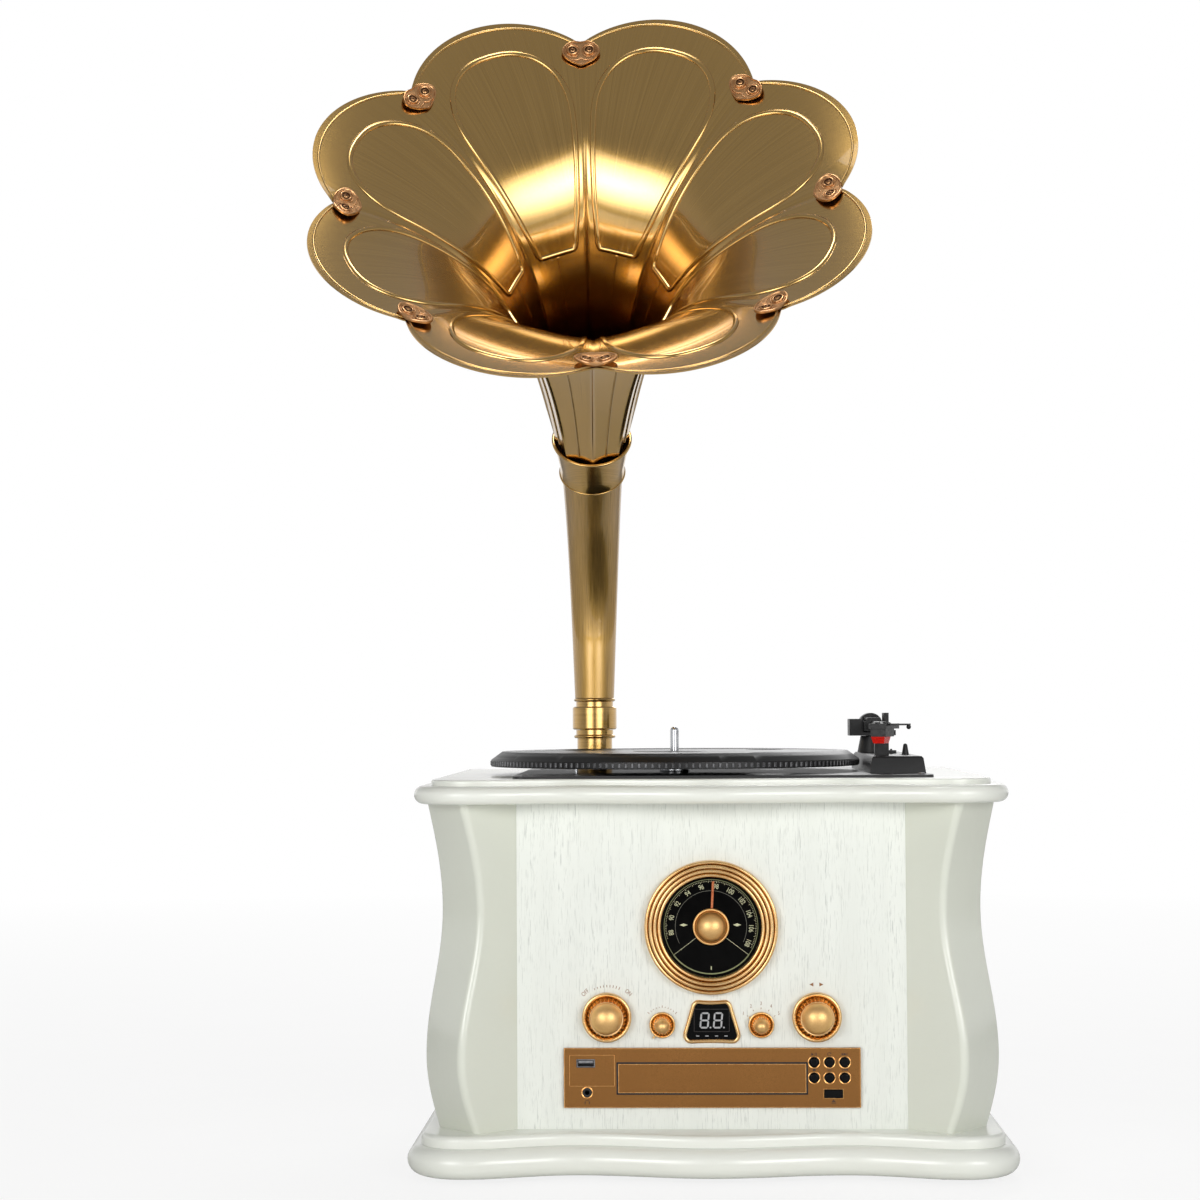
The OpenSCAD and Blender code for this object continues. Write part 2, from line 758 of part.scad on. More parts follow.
// Rear corner post on the right: the same swell on its outside, with bores for the back screws
module rear_post() {
    steps = 18;
    rings = [for (i = [0:steps])
        let (h = body_h * i / steps, x = post_outer_x + 0.9 * swell(h), z = plinth_top + h)
        [[post_in_x, rear_post_y0, z], [x, rear_post_y0, z],
         [x, rear_post_y1, z], [post_in_x, rear_post_y1, z]]];
    difference() {
        skin(rings);
        for (z = screw_zs)
            translate([screw_x, rear_post_y1 + cut, z]) rotate([90, 0, 0])
                cylinder(r = screw_d / 2 + run_gap, h = screw_l - back_t + 2 * cut);
    }
}

module corner_posts() {
    color(white) place() mirror_pair() {
        front_post();
        rear_post();
    }
}

// Openings of the drawer, the sockets and the buttons, from y0 to y1
module drive_openings(y0, y1) {
    h = y1 - y0 + 2 * cut;
    translate([-door_w / 2, y0 - cut, door_z - door_h / 2]) cube([door_w, h, door_h]);
    translate([usb_x - usb_w / 2, y0 - cut, usb_z - usb_h / 2]) cube([usb_w, h, usb_h]);
    on_front(jack_x, jack_z, y1 + cut) cylinder(d = jack_d, h = h);
    for (i = [0:5])
        on_front(button_place(i).x, button_place(i).y, y1 + cut)
            cylinder(d = button_d + 2 * pass_gap, h = h);
    translate([open_x - open_w / 2 - pass_gap, y0 - cut, open_z - open_h / 2 - pass_gap])
        cube([open_w + 2 * pass_gap, h, open_h + 2 * pass_gap]);
}

module front_panel() {
    h = panel_t + 2 * cut;
    color(white) place() difference() {
        translate([-panel_w / 2, 0, plinth_top]) cube([panel_w, panel_t, body_h]);
        on_front(0, dial_z, panel_t + cut) cylinder(r = dial_face_d / 2 + dial_skirt_t + fit_gap, h = h);
        for (p = [[big_knob_x, big_knob_z], [small_knob_x, small_knob_z]], s = [-1, 1])
            on_front(s * p.x, p.y, panel_t + cut) cylinder(r = bush_r + fit_gap, h = h);
        translate([-plug_w / 2, -cut, display_z - plug_h / 2]) cube([plug_w, h, plug_h]);
        drive_openings(0, panel_t);
    }
}

module side_panels() {
    slots = floor((speaker_r - 8) / slot_pitch);
    color(white) place() mirror_pair() difference() {
        translate([side_in, post_back_y, plinth_top])
            cube([side_t, rear_post_y0 - post_back_y, body_h]);
        for (i = [-slots:slots]) {
            half = sqrt(pow(speaker_r - 6, 2) - pow(i * slot_pitch, 2));
            translate([side_in - cut, speaker_y + i * slot_pitch - slot_w / 2, speaker_z - half])
                cube([side_t + 2 * cut, slot_w, 2 * half]);
        }
    }
}

module back_panel() {
    color(black) place() difference() {
        translate([-side_x, back_y - back_t, plinth_top]) cube([2 * side_x, back_t, body_h]);
        for (s = [-1, 1], z = screw_zs)
            translate([s * screw_x, back_y + cut, z]) rotate([90, 0, 0])
                cylinder(r = screw_d / 2 + run_gap, h = back_t + 2 * cut);
        translate([inlet_x - inlet_w / 2, back_y - back_t - cut, inlet_z - inlet_h / 2])
            cube([inlet_w, back_t + 2 * cut, inlet_h]);
        for (i = [0, 1])
            translate([rca_x + i * rca_pitch, back_y + cut, rca_z]) rotate([90, 0, 0])
                cylinder(r = rca_r + fit_gap, h = back_t + 2 * cut);
    }
}

module deck_plate() {
    color(black) place() difference() {
        hull() for (x = [deck_x0 + deck_corner_r, deck_x1 - deck_corner_r],
            y = [deck_corner_r - deck_front, deck_back_y - deck_corner_r])
            translate([x, y, board_top]) cylinder(r = deck_corner_r, h = deck_t, $fn = 32);
        translate([platter_x, platter_y, board_top - cut])
            cylinder(r = bearing_r + fit_gap, h = deck_t + 2 * cut);
        translate([motor_x, motor_y, board_top - cut]) cylinder(r = 4, h = deck_t + 2 * cut);
        for (p = deck_screws)
            translate([p.x, p.y, board_top - cut])
                cylinder(r = deck_screw_r + run_gap, h = deck_t + 2 * cut);
    }
}

module fixing_screws() {
    color(steel) place() {
        for (s = [-1, 1], z = screw_zs)
            translate([s * screw_x, back_y, z]) {
                rotate([90, 0, 0]) cylinder(d = screw_d, h = screw_l);
                rotate([-90, 0, 0]) difference() {
                    cylinder(d1 = screw_head_d, d2 = screw_head_d - 2, h = 2);
                    translate([0, 0, 1.8]) cube([4, 0.8, 1.6], center = true);
                    translate([0, 0, 1.8]) cube([0.8, 4, 1.6], center = true);
                }
            }
        for (p = deck_screws) {
            translate([p.x, p.y, deck_top - deck_screw_l])
                cylinder(r = deck_screw_r, h = deck_screw_l + 0.01);
            translate([p.x, p.y, deck_top]) cylinder(r1 = 3, r2 = 2, h = 1.4);
        }
    }
}

module platter_spindle() {
    dome_z = platter_top + spindle_up - spindle_r;
    color(steel) place() translate([platter_x, platter_y, 0]) {
        translate([0, 0, deck_top - spindle_down])
            cylinder(r = bearing_r, h = spindle_down + platter_top - deck_top);
        translate([0, 0, platter_top - 1]) cylinder(r = spindle_r, h = dome_z - platter_top + 1);
        translate([0, 0, dome_z]) sphere(r = spindle_r);
        translate([0, 0, deck_top]) tube(hub_r, bearing_r - 0.5, boss_h);
        translate([0, 0, board_top - 5]) tube(7, bearing_r - 0.5, 5);
    }
}

module platter() {
    rim_top = platter_z + platter_rim_h;
    bore = bearing_r + run_gap;
    skirt = 6;
    section = [[bore, deck_top + boss_h + pass_gap], [hub_r, deck_top + boss_h + pass_gap], [hub_r, ring_top],
        [drive_ring_r - drive_ring_w, ring_top], [drive_ring_r - drive_ring_w, platter_z],
        [drive_ring_r, platter_z], [drive_ring_r, ring_top], [platter_top_r - 6, ring_top],
        [platter_r - skirt, rim_top], [platter_r - skirt, platter_z], [platter_r, platter_z],
        [platter_r, rim_top], [platter_top_r, platter_top], [platter_top_r - 8, platter_top],
        [platter_top_r - 9, platter_top - 0.6], [34, platter_top - 0.6], [33, platter_top],
        [bore, platter_top]];
    color(black) place() translate([platter_x, platter_y, 0]) difference() {
        rotate_extrude($fn = 128) polygon(section);
        for (i = [0:platter_holes - 1])
            rotate([0, 0, motor_a + 360 * i / platter_holes])
                translate([platter_hole_at, 0, ring_top - cut])
                    cylinder(r = platter_hole_r, h = platter_t + 2 * cut);
    }
}

module drive_motor() {
    color(steel) place() translate([motor_x, motor_y, board_top - motor_h]) {
        tube(motor_r, motor_shaft_r + run_gap, motor_h);
        translate([0, 0, -3]) tube(5, motor_shaft_r + run_gap, 3);
    }
}

module motor_pulley() {
    flange = 1;
    z0 = belt_z - pass_gap - flange;
    shaft_z = board_top - motor_h;
    groove = belt_h + 2 * pass_gap;
    color(steel) place() translate([motor_x, motor_y, 0]) {
        translate([0, 0, shaft_z]) cylinder(r = motor_shaft_r, h = z0 - shaft_z + cut);
        translate([0, 0, z0]) cylinder(r = pulley_r + flange, h = flange);
        translate([0, 0, z0 + flange]) cylinder(r = pulley_r, h = groove);
        translate([0, 0, z0 + flange + groove]) cylinder(r1 = pulley_r + flange, r2 = pulley_r, h = flange);
    }
}

// Belt round two wheels, flat in XY: the first at 0, the second at p
module belt(r0, r1, p, t, h, gap) {
    difference() {
        hull() {
            cylinder(r = r0 + gap + t, h = h, $fn = 96);
            translate([p.x, p.y, 0]) cylinder(r = r1 + gap + t, h = h, $fn = 48);
        }
        hull() {
            translate([0, 0, -cut]) cylinder(r = r0 + gap, h = h + 2 * cut, $fn = 96);
            translate([p.x, p.y, -cut]) cylinder(r = r1 + gap, h = h + 2 * cut, $fn = 48);
        }
    }
}

module drive_belt() {
    color(black) place() translate([platter_x, platter_y, belt_z])
        belt(drive_ring_r, pulley_r, [motor_x - platter_x, motor_y - platter_y], belt_t, belt_h, fit_gap);
}

// Block with sloping sides: its foot is x0 to x1 and y0 to y1, its top is drawn in by slope
module sloped_block(x0, x1, y0, y1, z, h, slope) {
    skin([for (s = [[0, 0], [0, h - 1.5], [1.2, h]])
        let (d = slope * s[1] / h + s[0])
        [for (p = [[x0 + d, y0 + d], [x1 - d, y0 + d], [x1 - d, y1 - d], [x0 + d, y1 - d]])
            [p.x, p.y, z + s[1]]]]);
}

module tonearm_base() {
    turret_h = yoke_floor - pass_gap - base_top;
    saddle_z = arm_z - arm_r - pass_gap;
    color(black) place() difference() {
        union() {
            sloped_block(base_x0, base_x1, base_y0, base_y1, deck_top, base_h, base_slope);
            translate([arm_x, arm_y, base_top - cut]) cylinder(r1 = 13, r2 = 10, h = turret_h + cut);
            translate([rest_x - 5.5, rest_y - 3, base_top - cut])
                cube([11, 6, saddle_z - 4 - base_top + cut]);
            translate([rest_x - 3, rest_y - 3, saddle_z - 4.01]) cube([14, 6, 4.01]);
        }
        translate([arm_x, arm_y, deck_top + 2]) cylinder(r = yoke_pin_r + run_gap, h = arm_up);
        translate([cue_x - 4, cue_y - 9, deck_top + 4]) cube([8, 24, base_h]);
        translate([cue_x - 6.5, cue_y, cue_z]) rotate([0, 90, 0]) cylinder(r = cue_pin_r + run_gap, h = 13);
        translate([switch_x - 2, switch_y - 2, base_top - 4]) cube([4, switch_travel + 10, 6]);
    }
}

module tonearm_yoke() {
    cheek_l = yoke_left - block_w / 2 - pass_gap;
    cheek_r = yoke_right - block_w / 2 - pass_gap;
    cheek_h = 11;
    color(black) place() translate([arm_x, arm_y, 0]) {
        translate([0, 0, deck_top + 3]) cylinder(r = yoke_pin_r, h = yoke_floor - deck_top - 3 + cut);
        difference() {
            union() {
                translate([-yoke_left, -yoke_d / 2, yoke_floor]) cube([yoke_left + yoke_right, yoke_d, 3]);
                translate([-yoke_left, -yoke_d / 2, yoke_floor + 3 - 0.01]) cube([cheek_l, yoke_d, cheek_h]);
                translate([yoke_right - cheek_r, -yoke_d / 2 + 4, yoke_floor + 3 - 0.01])
                    cube([cheek_r, yoke_d - 8, cheek_h + 5]);
            }
            translate([-yoke_left - cut, 0, arm_z]) rotate([0, 90, 0])
                cylinder(r = arm_pin_r + run_gap, h = yoke_left + yoke_right + 2 * cut);
        }
    }
}

module tonearm() {
    block_front = 20;
    block_back = 16;
    weight_gap = 5;
    low = 5.2;
    high = 6;
    undercut = 2.8;
    undercut_y = 2;
    tab = [17, 4, 1.4];
    tab_tip_r = 1.8;
    color(black) place() translate([arm_x, arm_y, arm_z]) {
        translate([-block_w / 2, -block_front, -low])
            cube([block_w, block_front + undercut_y, low + high - 3]);
        translate([-block_w / 2, undercut_y - 0.01, undercut - low])
            cube([block_w, block_back - undercut_y + 0.01, low + high - 3 - undercut]);
        translate([-block_w / 2 + 3, -block_front, high - 3.01])
            cube([block_w - 6, block_front + block_back, 3]);
        translate([-yoke_left, 0, 0]) rotate([0, 90, 0]) cylinder(r = arm_pin_r, h = yoke_left + yoke_right);
        rotate([90, 0, 0]) cylinder(r = arm_r, h = arm_l + 4);
        rotate([-90, 0, 0]) cylinder(r = arm_r, h = block_back + weight_gap + weight_l);
        translate([0, -arm_l, 0]) rotate([0, 0, -shell_turn]) difference() {
            union() {
                translate([-shell_w / 2, -shell_l + 6, -2]) cube([shell_w, shell_l, shell_h - 1]);
                translate([shell_w / 2 - 1, -shell_l + 14, 0.6]) cube(tab);
                translate([shell_w / 2 + 15, -shell_l + 16, -0.6]) sphere(r = tab_tip_r);
            }
            for (x = [-1, 1] * 3.2)
                translate([x, -shell_l / 2, -shell_h]) cylinder(r = 1.3, h = 2 * shell_h);
        }
    }
}

module headshell_frame() {
    place() translate([arm_x, shell_y, arm_z - 2]) rotate([0, 0, -shell_turn]) children();
}

module cartridge() {
    color(black) headshell_frame() {
        translate([-shell_w / 2 + 1, -shell_l + 8, -cart_h]) cube([shell_w - 2, 22, cart_h]);
        for (x = [-1, 1] * 3.2)
            translate([x, -shell_l / 2, -1]) cylinder(r = 1.2, h = shell_h + 0.6);
        for (x = [-1, 1] * 3.2)
            translate([x, -shell_l / 2, shell_h - 1]) cylinder(r = 2.2, h = 1.2);
    }
}

module stylus() {
    w = shell_w - 3;
    color(red) headshell_frame() translate([0, -shell_l + 8, -cart_h]) {
        skin([for (s = [[0, 0], [stylus_h, 2.2]])
            [[-w / 2 + s[1] / 2, -1 + s[1], -s[0]], [w / 2 - s[1] / 2, -1 + s[1], -s[0]],
             [w / 2 - s[1] / 2, 15 - s[1], -s[0]], [-w / 2 + s[1] / 2, 15 - s[1], -s[0]]]]);
    }
}

module counterweight() {
    color(black) place() translate([arm_x, arm_y + 18, arm_z]) rotate([-90, 0, 0]) {
        tube(weight_r, arm_r + fit_gap / 2, weight_l);
    }
}

module cue_lever() {
    color(black) place() translate([cue_x, cue_y, cue_z]) {
        translate([-6, 0, 0]) rotate([0, 90, 0]) cylinder(r = cue_pin_r, h = 12);
        translate([0, 0, -2]) cylinder(r = 2.6, h = 6);
        translate([0, 0, 3.9]) cylinder(r1 = 3.2, r2 = 1.7, h = cue_h - 7);
        translate([0, 0, cue_h - 3.2]) sphere(r = 1.7);
    }
}

module speed_switch() {
    color(black) place() translate([switch_x, switch_y, base_top]) {
        translate([-1.6, 0, -3.5]) cube([3.2, 6, 4]);
        translate([-4, -1, pass_gap]) cube([8, 8, 2.6]);
        translate([-0.8, 2.2, 2.8]) cube([1.6, 1.6, 1.2]);
    }
}

// Half round outline of a bead that starts at z
function bead_section(z) =
    [for (i = [1:7]) let (a = 180 * i / 8)
        [neck_r + (bead_r - neck_r) * sin(a), z + bead_h * (1 - cos(a)) / 2]];

module horn_socket() {
    flange_r = horn_y - deck_back_y - pass_gap;
    section = [[socket_bore_r, body_top], [socket_r, body_top], [socket_r, board_top],
        [flange_r, board_top], [flange_r, board_top + 2], [flange_r - 2, board_top + 3],
        [socket_r, board_top + 3], [socket_r, bead_z], each bead_section(bead_z),
        [neck_r, bead_z + bead_h], [neck_r, socket_top], [socket_bore_r, socket_top]];
    color(gold) place() horn_frame() rotate_extrude() polygon(section);
}

module horn_driver() {
    lip = 4;
    neck = 8;
    chamber = 18;
    floor_z = body_top - driver_h;
    section = [[0, floor_z], [driver_r, floor_z], [driver_r, body_top - lip - neck],
        [socket_bore_r + 2, body_top - lip], [driver_r, body_top - lip], [driver_r, body_top],
        [socket_bore_r, body_top], [socket_bore_r, floor_z + chamber], [0, floor_z + chamber]];
    color(black) place() horn_frame() rotate_extrude() polygon(section);
}

module horn_swivel() {
    bore = socket_bore_r - run_gap - tube_wall;
    e = 1.2;
    section = [[bore, ring_z - spigot_h], [socket_bore_r - run_gap, ring_z - spigot_h],
        [socket_bore_r - run_gap, ring_z], [ring_r - e, ring_z], [ring_r, ring_z + e],
        [ring_r, upper_neck_z - e], [ring_r - e, upper_neck_z], [neck_r, upper_neck_z],
        [neck_r, upper_bead_z],
        each bead_section(upper_bead_z),
        [neck_r, elbow_z], [elbow_r0 - tube_wall - fit_gap, elbow_z],
        [elbow_r0 - tube_wall - fit_gap, elbow_z + elbow_spigot_h], [bore, elbow_z + elbow_spigot_h]];
    color(gold) place() horn_frame() rotate_extrude() polygon(section);
}

// Centre, direction angle from upright and radius of the elbow at length s
function elbow_at(s) =
    let (a = s < elbow_rise ? 0 : min(elbow_bend, (s - elbow_rise) / bend_len * elbow_bend),
         rest = max(0, s - elbow_rise - bend_len),
         up = min(s, elbow_rise))
    [-elbow_bend_r * (1 - cos(a)) - rest * sin(a),
     elbow_z + up + elbow_bend_r * sin(a) + rest * cos(a),
     a, elbow_r0 + (elbow_r1 - elbow_r0) * s / elbow_len];

function elbow_ring(s, d, sides) =
    let (e = elbow_at(s), r = e[3] - d)
    [for (i = [0:sides - 1]) let (b = 360 * i / sides)
        [r * cos(b), e[0] + r * sin(b) * cos(e[2]), e[1] + r * sin(b) * sin(e[2])]];

// Tube wall between outer rings and inner rings, closed at both ends
module hollow_skin(outer, inner) {
    n = len(outer[0]);
    m = len(outer);
    faces = [for (j = [0:m - 2], i = [0:n - 1]) let (k = (i + 1) % n)
        each [[j * n + i, (j + 1) * n + i, (j + 1) * n + k], [j * n + i, (j + 1) * n + k, j * n + k]]];
    count = n * m;
    inside = [for (f = faces) [f[2] + count, f[1] + count, f[0] + count]];
    ends = [for (i = [0:n - 1]) let (k = (i + 1) % n, t = (m - 1) * n)
        each [[i, k, count + k], [i, count + k, count + i],
              [t + k, t + i, count + t + i], [t + k, count + t + i, count + t + k]]];
    polyhedron(points = concat([for (r = outer) each r], [for (r = inner) each r]),
        faces = concat(faces, inside, ends), convexity = 6);
}

module horn_elbow() {
    steps = 20;
    sides = 32;
    color(gold) place() horn_frame() hollow_skin(
        [for (j = [0:steps]) elbow_ring(elbow_len * j / steps, 0, sides)],
        [for (j = [0:steps]) elbow_ring(elbow_len * j / steps, tube_wall, sides)]);
}

module horn_collar() {
    seat = 12;
    lip = 0.8;
    in0 = elbow_r1 + fit_gap;
    section = [[in0, -seat], [in0 + tube_wall, -seat], [collar_r0, 0],
        [collar_r1 - lip / 3, collar_l - 2 * lip],
        [collar_r1 + lip / 2, collar_l - lip], [collar_r1, collar_l],
        [collar_r1 - tube_wall, collar_l], [in0, 0.2]];
    color(gold) place() horn_frame() translate([0, collar_y, collar_z]) rotate([elbow_bend, 0, 0])
        rotate_extrude() polygon(section);
}

module horn_petals() {
    color(gold) place() bell_frame()
        for (k = [0:petals - 1])
            hollow_petal(k);
}

// One petal: a strip of sheet between two seams, from the collar to the rim
module hollow_petal(k) {
    rows = along + 1;
    cols = across + 1;
    pts = [for (s = [false, true], j = [0:along], i = [0:across])
        petal_point(k, 2 * i / across - 1, row_t(j), s)];
    side = rows * cols;
    quads = [for (j = [0:along - 1], i = [0:across - 1])
        let (a = j * cols + i, b = a + 1, c = a + cols, d = c + 1)
        each [[a, b, d], [a, d, c]]];
    skin_in = [for (f = quads) [f[2] + side, f[1] + side, f[0] + side]];
    edge = concat([for (i = [0:cols - 1]) i], [for (j = [1:rows - 1]) j * cols + cols - 1],
        [for (i = [cols - 2:-1:0]) (rows - 1) * cols + i], [for (j = [rows - 2:-1:1]) j * cols]);
    m = len(edge);
    rim = [for (i = [0:m - 1]) let (a = edge[i], b = edge[(i + 1) % m])
        each [[b, a, a + side], [b, a + side, b + side]]];
    flip = [for (f = concat(quads, skin_in, rim)) [f[2], f[1], f[0]]];
    polyhedron(points = pts, faces = flip, convexity = 6);
}

module clip() {
    tilt = atan(tan(half_a) / seam_slope(1) * cos(atan(1 / seam_slope(1))));
    end_y = (clip_w - clip_h) / 2;
    for (s = [-1, 1])
        rotate([s * tilt, 0, 0]) {
            difference() {
                union() {
                    translate([0, s * end_y, 0]) cylinder(r = clip_h / 2, h = clip_t);
                    translate([-clip_h / 2, min(0, s * end_y), 0]) cube([clip_h, end_y, clip_t]);
                }
                translate([-clip_h, s > 0 ? -clip_h : 0.02, -cut])
                    cube([2 * clip_h, clip_h - 0.02, clip_t + 2 * cut]);
            }
            translate([1, s * (end_y + 2.2), clip_t - 0.01]) {
                cylinder(r = rivet_r, h = 0.8);
                translate([0, 0, 0.79]) cylinder(r1 = rivet_r - 1.6, r2 = rivet_r - 2.6, h = 1.2);
            }
        }
}

module petal_clips() {
    slope = atan(seam_slope(1));
    back = clip_h / 2 - 1.5;
    lift = sheet_t + 0.25;
    seat_r = bell_r - back * sin(slope) - lift * cos(slope);
    seat_z = bell_l - back * cos(slope) + lift * sin(slope);
    color(rose_gold) place() bell_frame()
        for (k = [0:petals - 1])
            rotate([0, 0, 2 * half_a * k]) translate([seat_r, 0, seat_z]) rotate([0, slope - 90, 0]) clip();
}

module dial_bezel() {
    r0 = dial_face_d / 2;
    r1 = dial_d / 2;
    step = (r1 - r0) / 4;
    rib = step * 0.32;
    section = [[r0, -dial_skirt], [r0 + dial_skirt_t, -dial_skirt], [r0 + dial_skirt_t, 0], [r1, 0],
        [r1, dial_out * 0.35],
        for (i = [0:3]) each
            let (rc = r1 - step * (i + 0.5), z = dial_out * (0.62 + 0.38 * sin(180 * (i + 0.6) / 4)))
            [[rc + rib, z - 0.7], [rc + rib / 2, z], [rc - rib / 2, z], [rc - rib, z - 0.7],
             [rc - rib * 1.3, z - 1.8]],
        [r0, dial_out * 0.4]];
    color(rose_gold) place() on_front(0, dial_z) rotate_extrude($fn = 96) polygon(section);
}

module dial_face() {
    plate = 2;
    color(black) place() on_front(0, dial_z, dial_skirt + plate) {
        tube(dial_face_d / 2 + dial_skirt_t, dial_shaft_r + run_gap, plate);
        translate([0, 0, -8]) tube(dial_shaft_r + 3, dial_shaft_r + run_gap, 8);
    }
}

// Pulley with a groove of radius r, its middle at z = 0
module grooved_pulley(r) {
    for (z = [-groove_w / 2 - flange_t, groove_w / 2]) translate([0, 0, z]) cylinder(r = r + 2, h = flange_t);
    translate([0, 0, -groove_w / 2 - 0.01]) cylinder(r = r, h = groove_w + 0.02);
}

// The needle stands on a shaft that runs through the dial and carries its pulley behind the panel
module dial_needle() {
    front = dial_skirt - needle_gap;
    color(rose_gold) place() on_front(0, dial_z, front) {
        rotate([0, 0, -needle_turn]) translate([-needle_w / 2, 0, 0]) cube([needle_w, needle_l, needle_t]);
        cylinder(r = dial_shaft_r + 3, h = needle_t);
        translate([0, 0, front - string_y - 2]) cylinder(r = dial_shaft_r, h = string_y - front + 2.01);
        translate([0, 0, front - string_y]) grooved_pulley(needle_pulley_r);
    }
}

module dial_cap() {
    r = dial_cap_d / 2;
    e = 1.2;
    back = dial_skirt - needle_gap - needle_t;
    section = [[0, 0], [r, 0], [r, 3], [r - e, 3 + e],
        for (i = [1:8]) let (a = 90 * i / 8)
            [(r - e) * cos(a), 3 + e + (dial_cap_out + back - 3 - e) * sin(a)]];
    color(rose_gold) place() on_front(0, dial_z, back) rotate_extrude() polygon(section);
}

module tuning_belt() {
    color(black) place() on_front(0, dial_z, string_y + 1)
        belt(needle_pulley_r, tuning_pulley_r, [big_knob_x, big_knob_z - dial_z], 0.6, 2, fit_gap);
}

// Knob of base diameter d0, dome diameter d1 and forward reach h, with its shaft
module knob(d0, d1, h) {
    r0 = d0 / 2;
    r1 = d1 / 2;
    rim = d0 * 0.07;
    dish = h * 0.3;
    section = [[0, 0.4], [r0 - 1, 0.4], [r0, 1.4], [r0, dish * 0.6], [r0 - rim / 2, dish],
        [r0 - rim, dish * 0.8], [r1 + (r0 - r1) * 0.35, h * 0.52], [r1 + 0.9, h * 0.62],
        [r1 + 0.9, h * 0.66], [r1, h * 0.68],
        for (i = [1:7]) let (a = 90 * i / 7) [r1 * cos(a), h * 0.68 + h * 0.32 * sin(a)]];
    rotate_extrude($fn = 48) polygon(section);
    translate([0, 0, -panel_t - pot_h + 1]) cylinder(r = knob_shaft_r, h = panel_t + pot_h);
}

module pointer(r0, r1) { translate([-0.7, r0, 0.6]) cube([1.4, r1 - r0, 2.2]); }

module volume_knob() {
    color(rose_gold) place() on_front(-big_knob_x, big_knob_z) knob(big_knob_d, big_dome_d, big_knob_out);
}

module tuning_knob() {
    color(rose_gold) place() on_front(big_knob_x, big_knob_z) {
        knob(big_knob_d, big_dome_d, big_knob_out);
        translate([0, 0, -string_y]) grooved_pulley(tuning_pulley_r);
        translate([0, 0, -capacitor_y - 4]) cylinder(r = knob_shaft_r, h = capacitor_y);
    }
}

module tone_knob() {
    color(rose_gold) place() on_front(-small_knob_x, small_knob_z) {
        knob(small_knob_d, small_dome_d, small_knob_out);
        rotate([0, 0, 145]) pointer(small_dome_d / 2, small_knob_d / 2 + 2.5);
    }
}

module source_knob() {
    color(rose_gold) place() on_front(small_knob_x, small_knob_z) {
        knob(small_knob_d, small_dome_d, small_knob_out);
        rotate([0, 0, 58]) pointer(small_dome_d / 2, small_knob_d / 2 + 1);
    }
}

// Can and threaded bush of a pot or a switch behind the panel, with its bore for the shaft
module pot(r) {
    bore = knob_shaft_r + run_gap;
    difference() {
        union() {
            translate([0, 0, -panel_t]) cylinder(r = bush_r, h = panel_t);
            translate([0, 0, -panel_t - pot_h]) cylinder(r = r, h = pot_h);
            translate([-4, -r - 5, -panel_t - 3]) cube([8, 6, 1.5]);
        }
        translate([0, 0, -panel_t - pot_h + 0.9]) cylinder(r = bore, h = panel_t + pot_h);
    }
}

module control_pots() {
    color(steel) place() {
        on_front(-big_knob_x, big_knob_z) pot(pot_r);
        on_front(-small_knob_x, small_knob_z) pot(pot_r);
        on_front(small_knob_x, small_knob_z) pot(pot_r + 1.5);
    }
}

// Bearing plate, bracket and body of the tuning capacitor; the belt's pulley turns between them
module tuning_capacitor() {
    half = 14;
    color(steel) place() on_front(big_knob_x, big_knob_z) {
        translate([0, 0, -panel_t]) tube(bush_r, knob_shaft_r + run_gap, panel_t);
        translate([0, 0, -panel_t - 2]) difference() {
            translate([-half, -half - 2, 0]) cube([2 * half, 2 * half + 2, 2]);
            translate([0, 0, -cut]) cylinder(r = knob_shaft_r + run_gap, h = 2 + 2 * cut);
        }
        translate([-half, -half - 2, -capacitor_y]) cube([2 * half, 2, capacitor_y - panel_t]);
        translate([0, 0, -capacitor_y - 20]) difference() {
            translate([-half, -half - 2, 0]) cube([2 * half, 2 * half + 2, 20]);
            translate([0, 0, 15.5]) cylinder(r = knob_shaft_r + run_gap, h = 20);
        }
    }
}

// Outline of the display drawn in by d: wide at its foot, with round corners
module display_shape(d, h) {
    r = max(display_corner_r - d, 1);
    hull() {
        for (s = [-1, 1]) {
            translate([s * (display_w / 2 - d - r), -display_h / 2 + d + r, 0])
                cylinder(r = r, h = h, $fn = 32);
            translate([s * (display_top_w / 2 - d - r), display_h / 2 - d - r, 0])
                cylinder(r = r, h = h, $fn = 32);
        }
    }
}

module display_bezel() {
    color(rose_gold) place() on_front(0, display_z) difference() {
        display_shape(0, display_out);
        translate([0, 0, -cut]) display_shape(display_rim, display_out + 2 * cut);
    }
}

module display_window() {
    color(black) place() on_front(0, display_z) {
        display_shape(display_rim + fit_gap, display_out - 1.4);
        translate([-plug_w / 2 + fit_gap, -plug_h / 2 + fit_gap, -panel_t + 2])
            cube([plug_w - 2 * fit_gap, plug_h - 2 * fit_gap, panel_t - 1.9]);
    }
}

module cd_fascia() {
    color(bronze) place() difference() {
        translate([-fascia_w / 2, fascia_front, fascia_z0]) cube([fascia_w, fascia_t, fascia_h]);
        drive_openings(fascia_front, 0);
    }
}

module cd_door() {
    w = door_w - 4 * pass_gap;
    h = door_h - 4 * pass_gap;
    color(bronze) place() translate([0, door_back - door_t, door_z]) {
        translate([-w / 2, 0.6, -h / 2]) cube([w, door_t - 0.6, h]);
        translate([-w / 2 + 0.6, 0, -h / 2 + 0.6]) cube([w - 1.2, 0.7, h - 1.2]);
    }
}

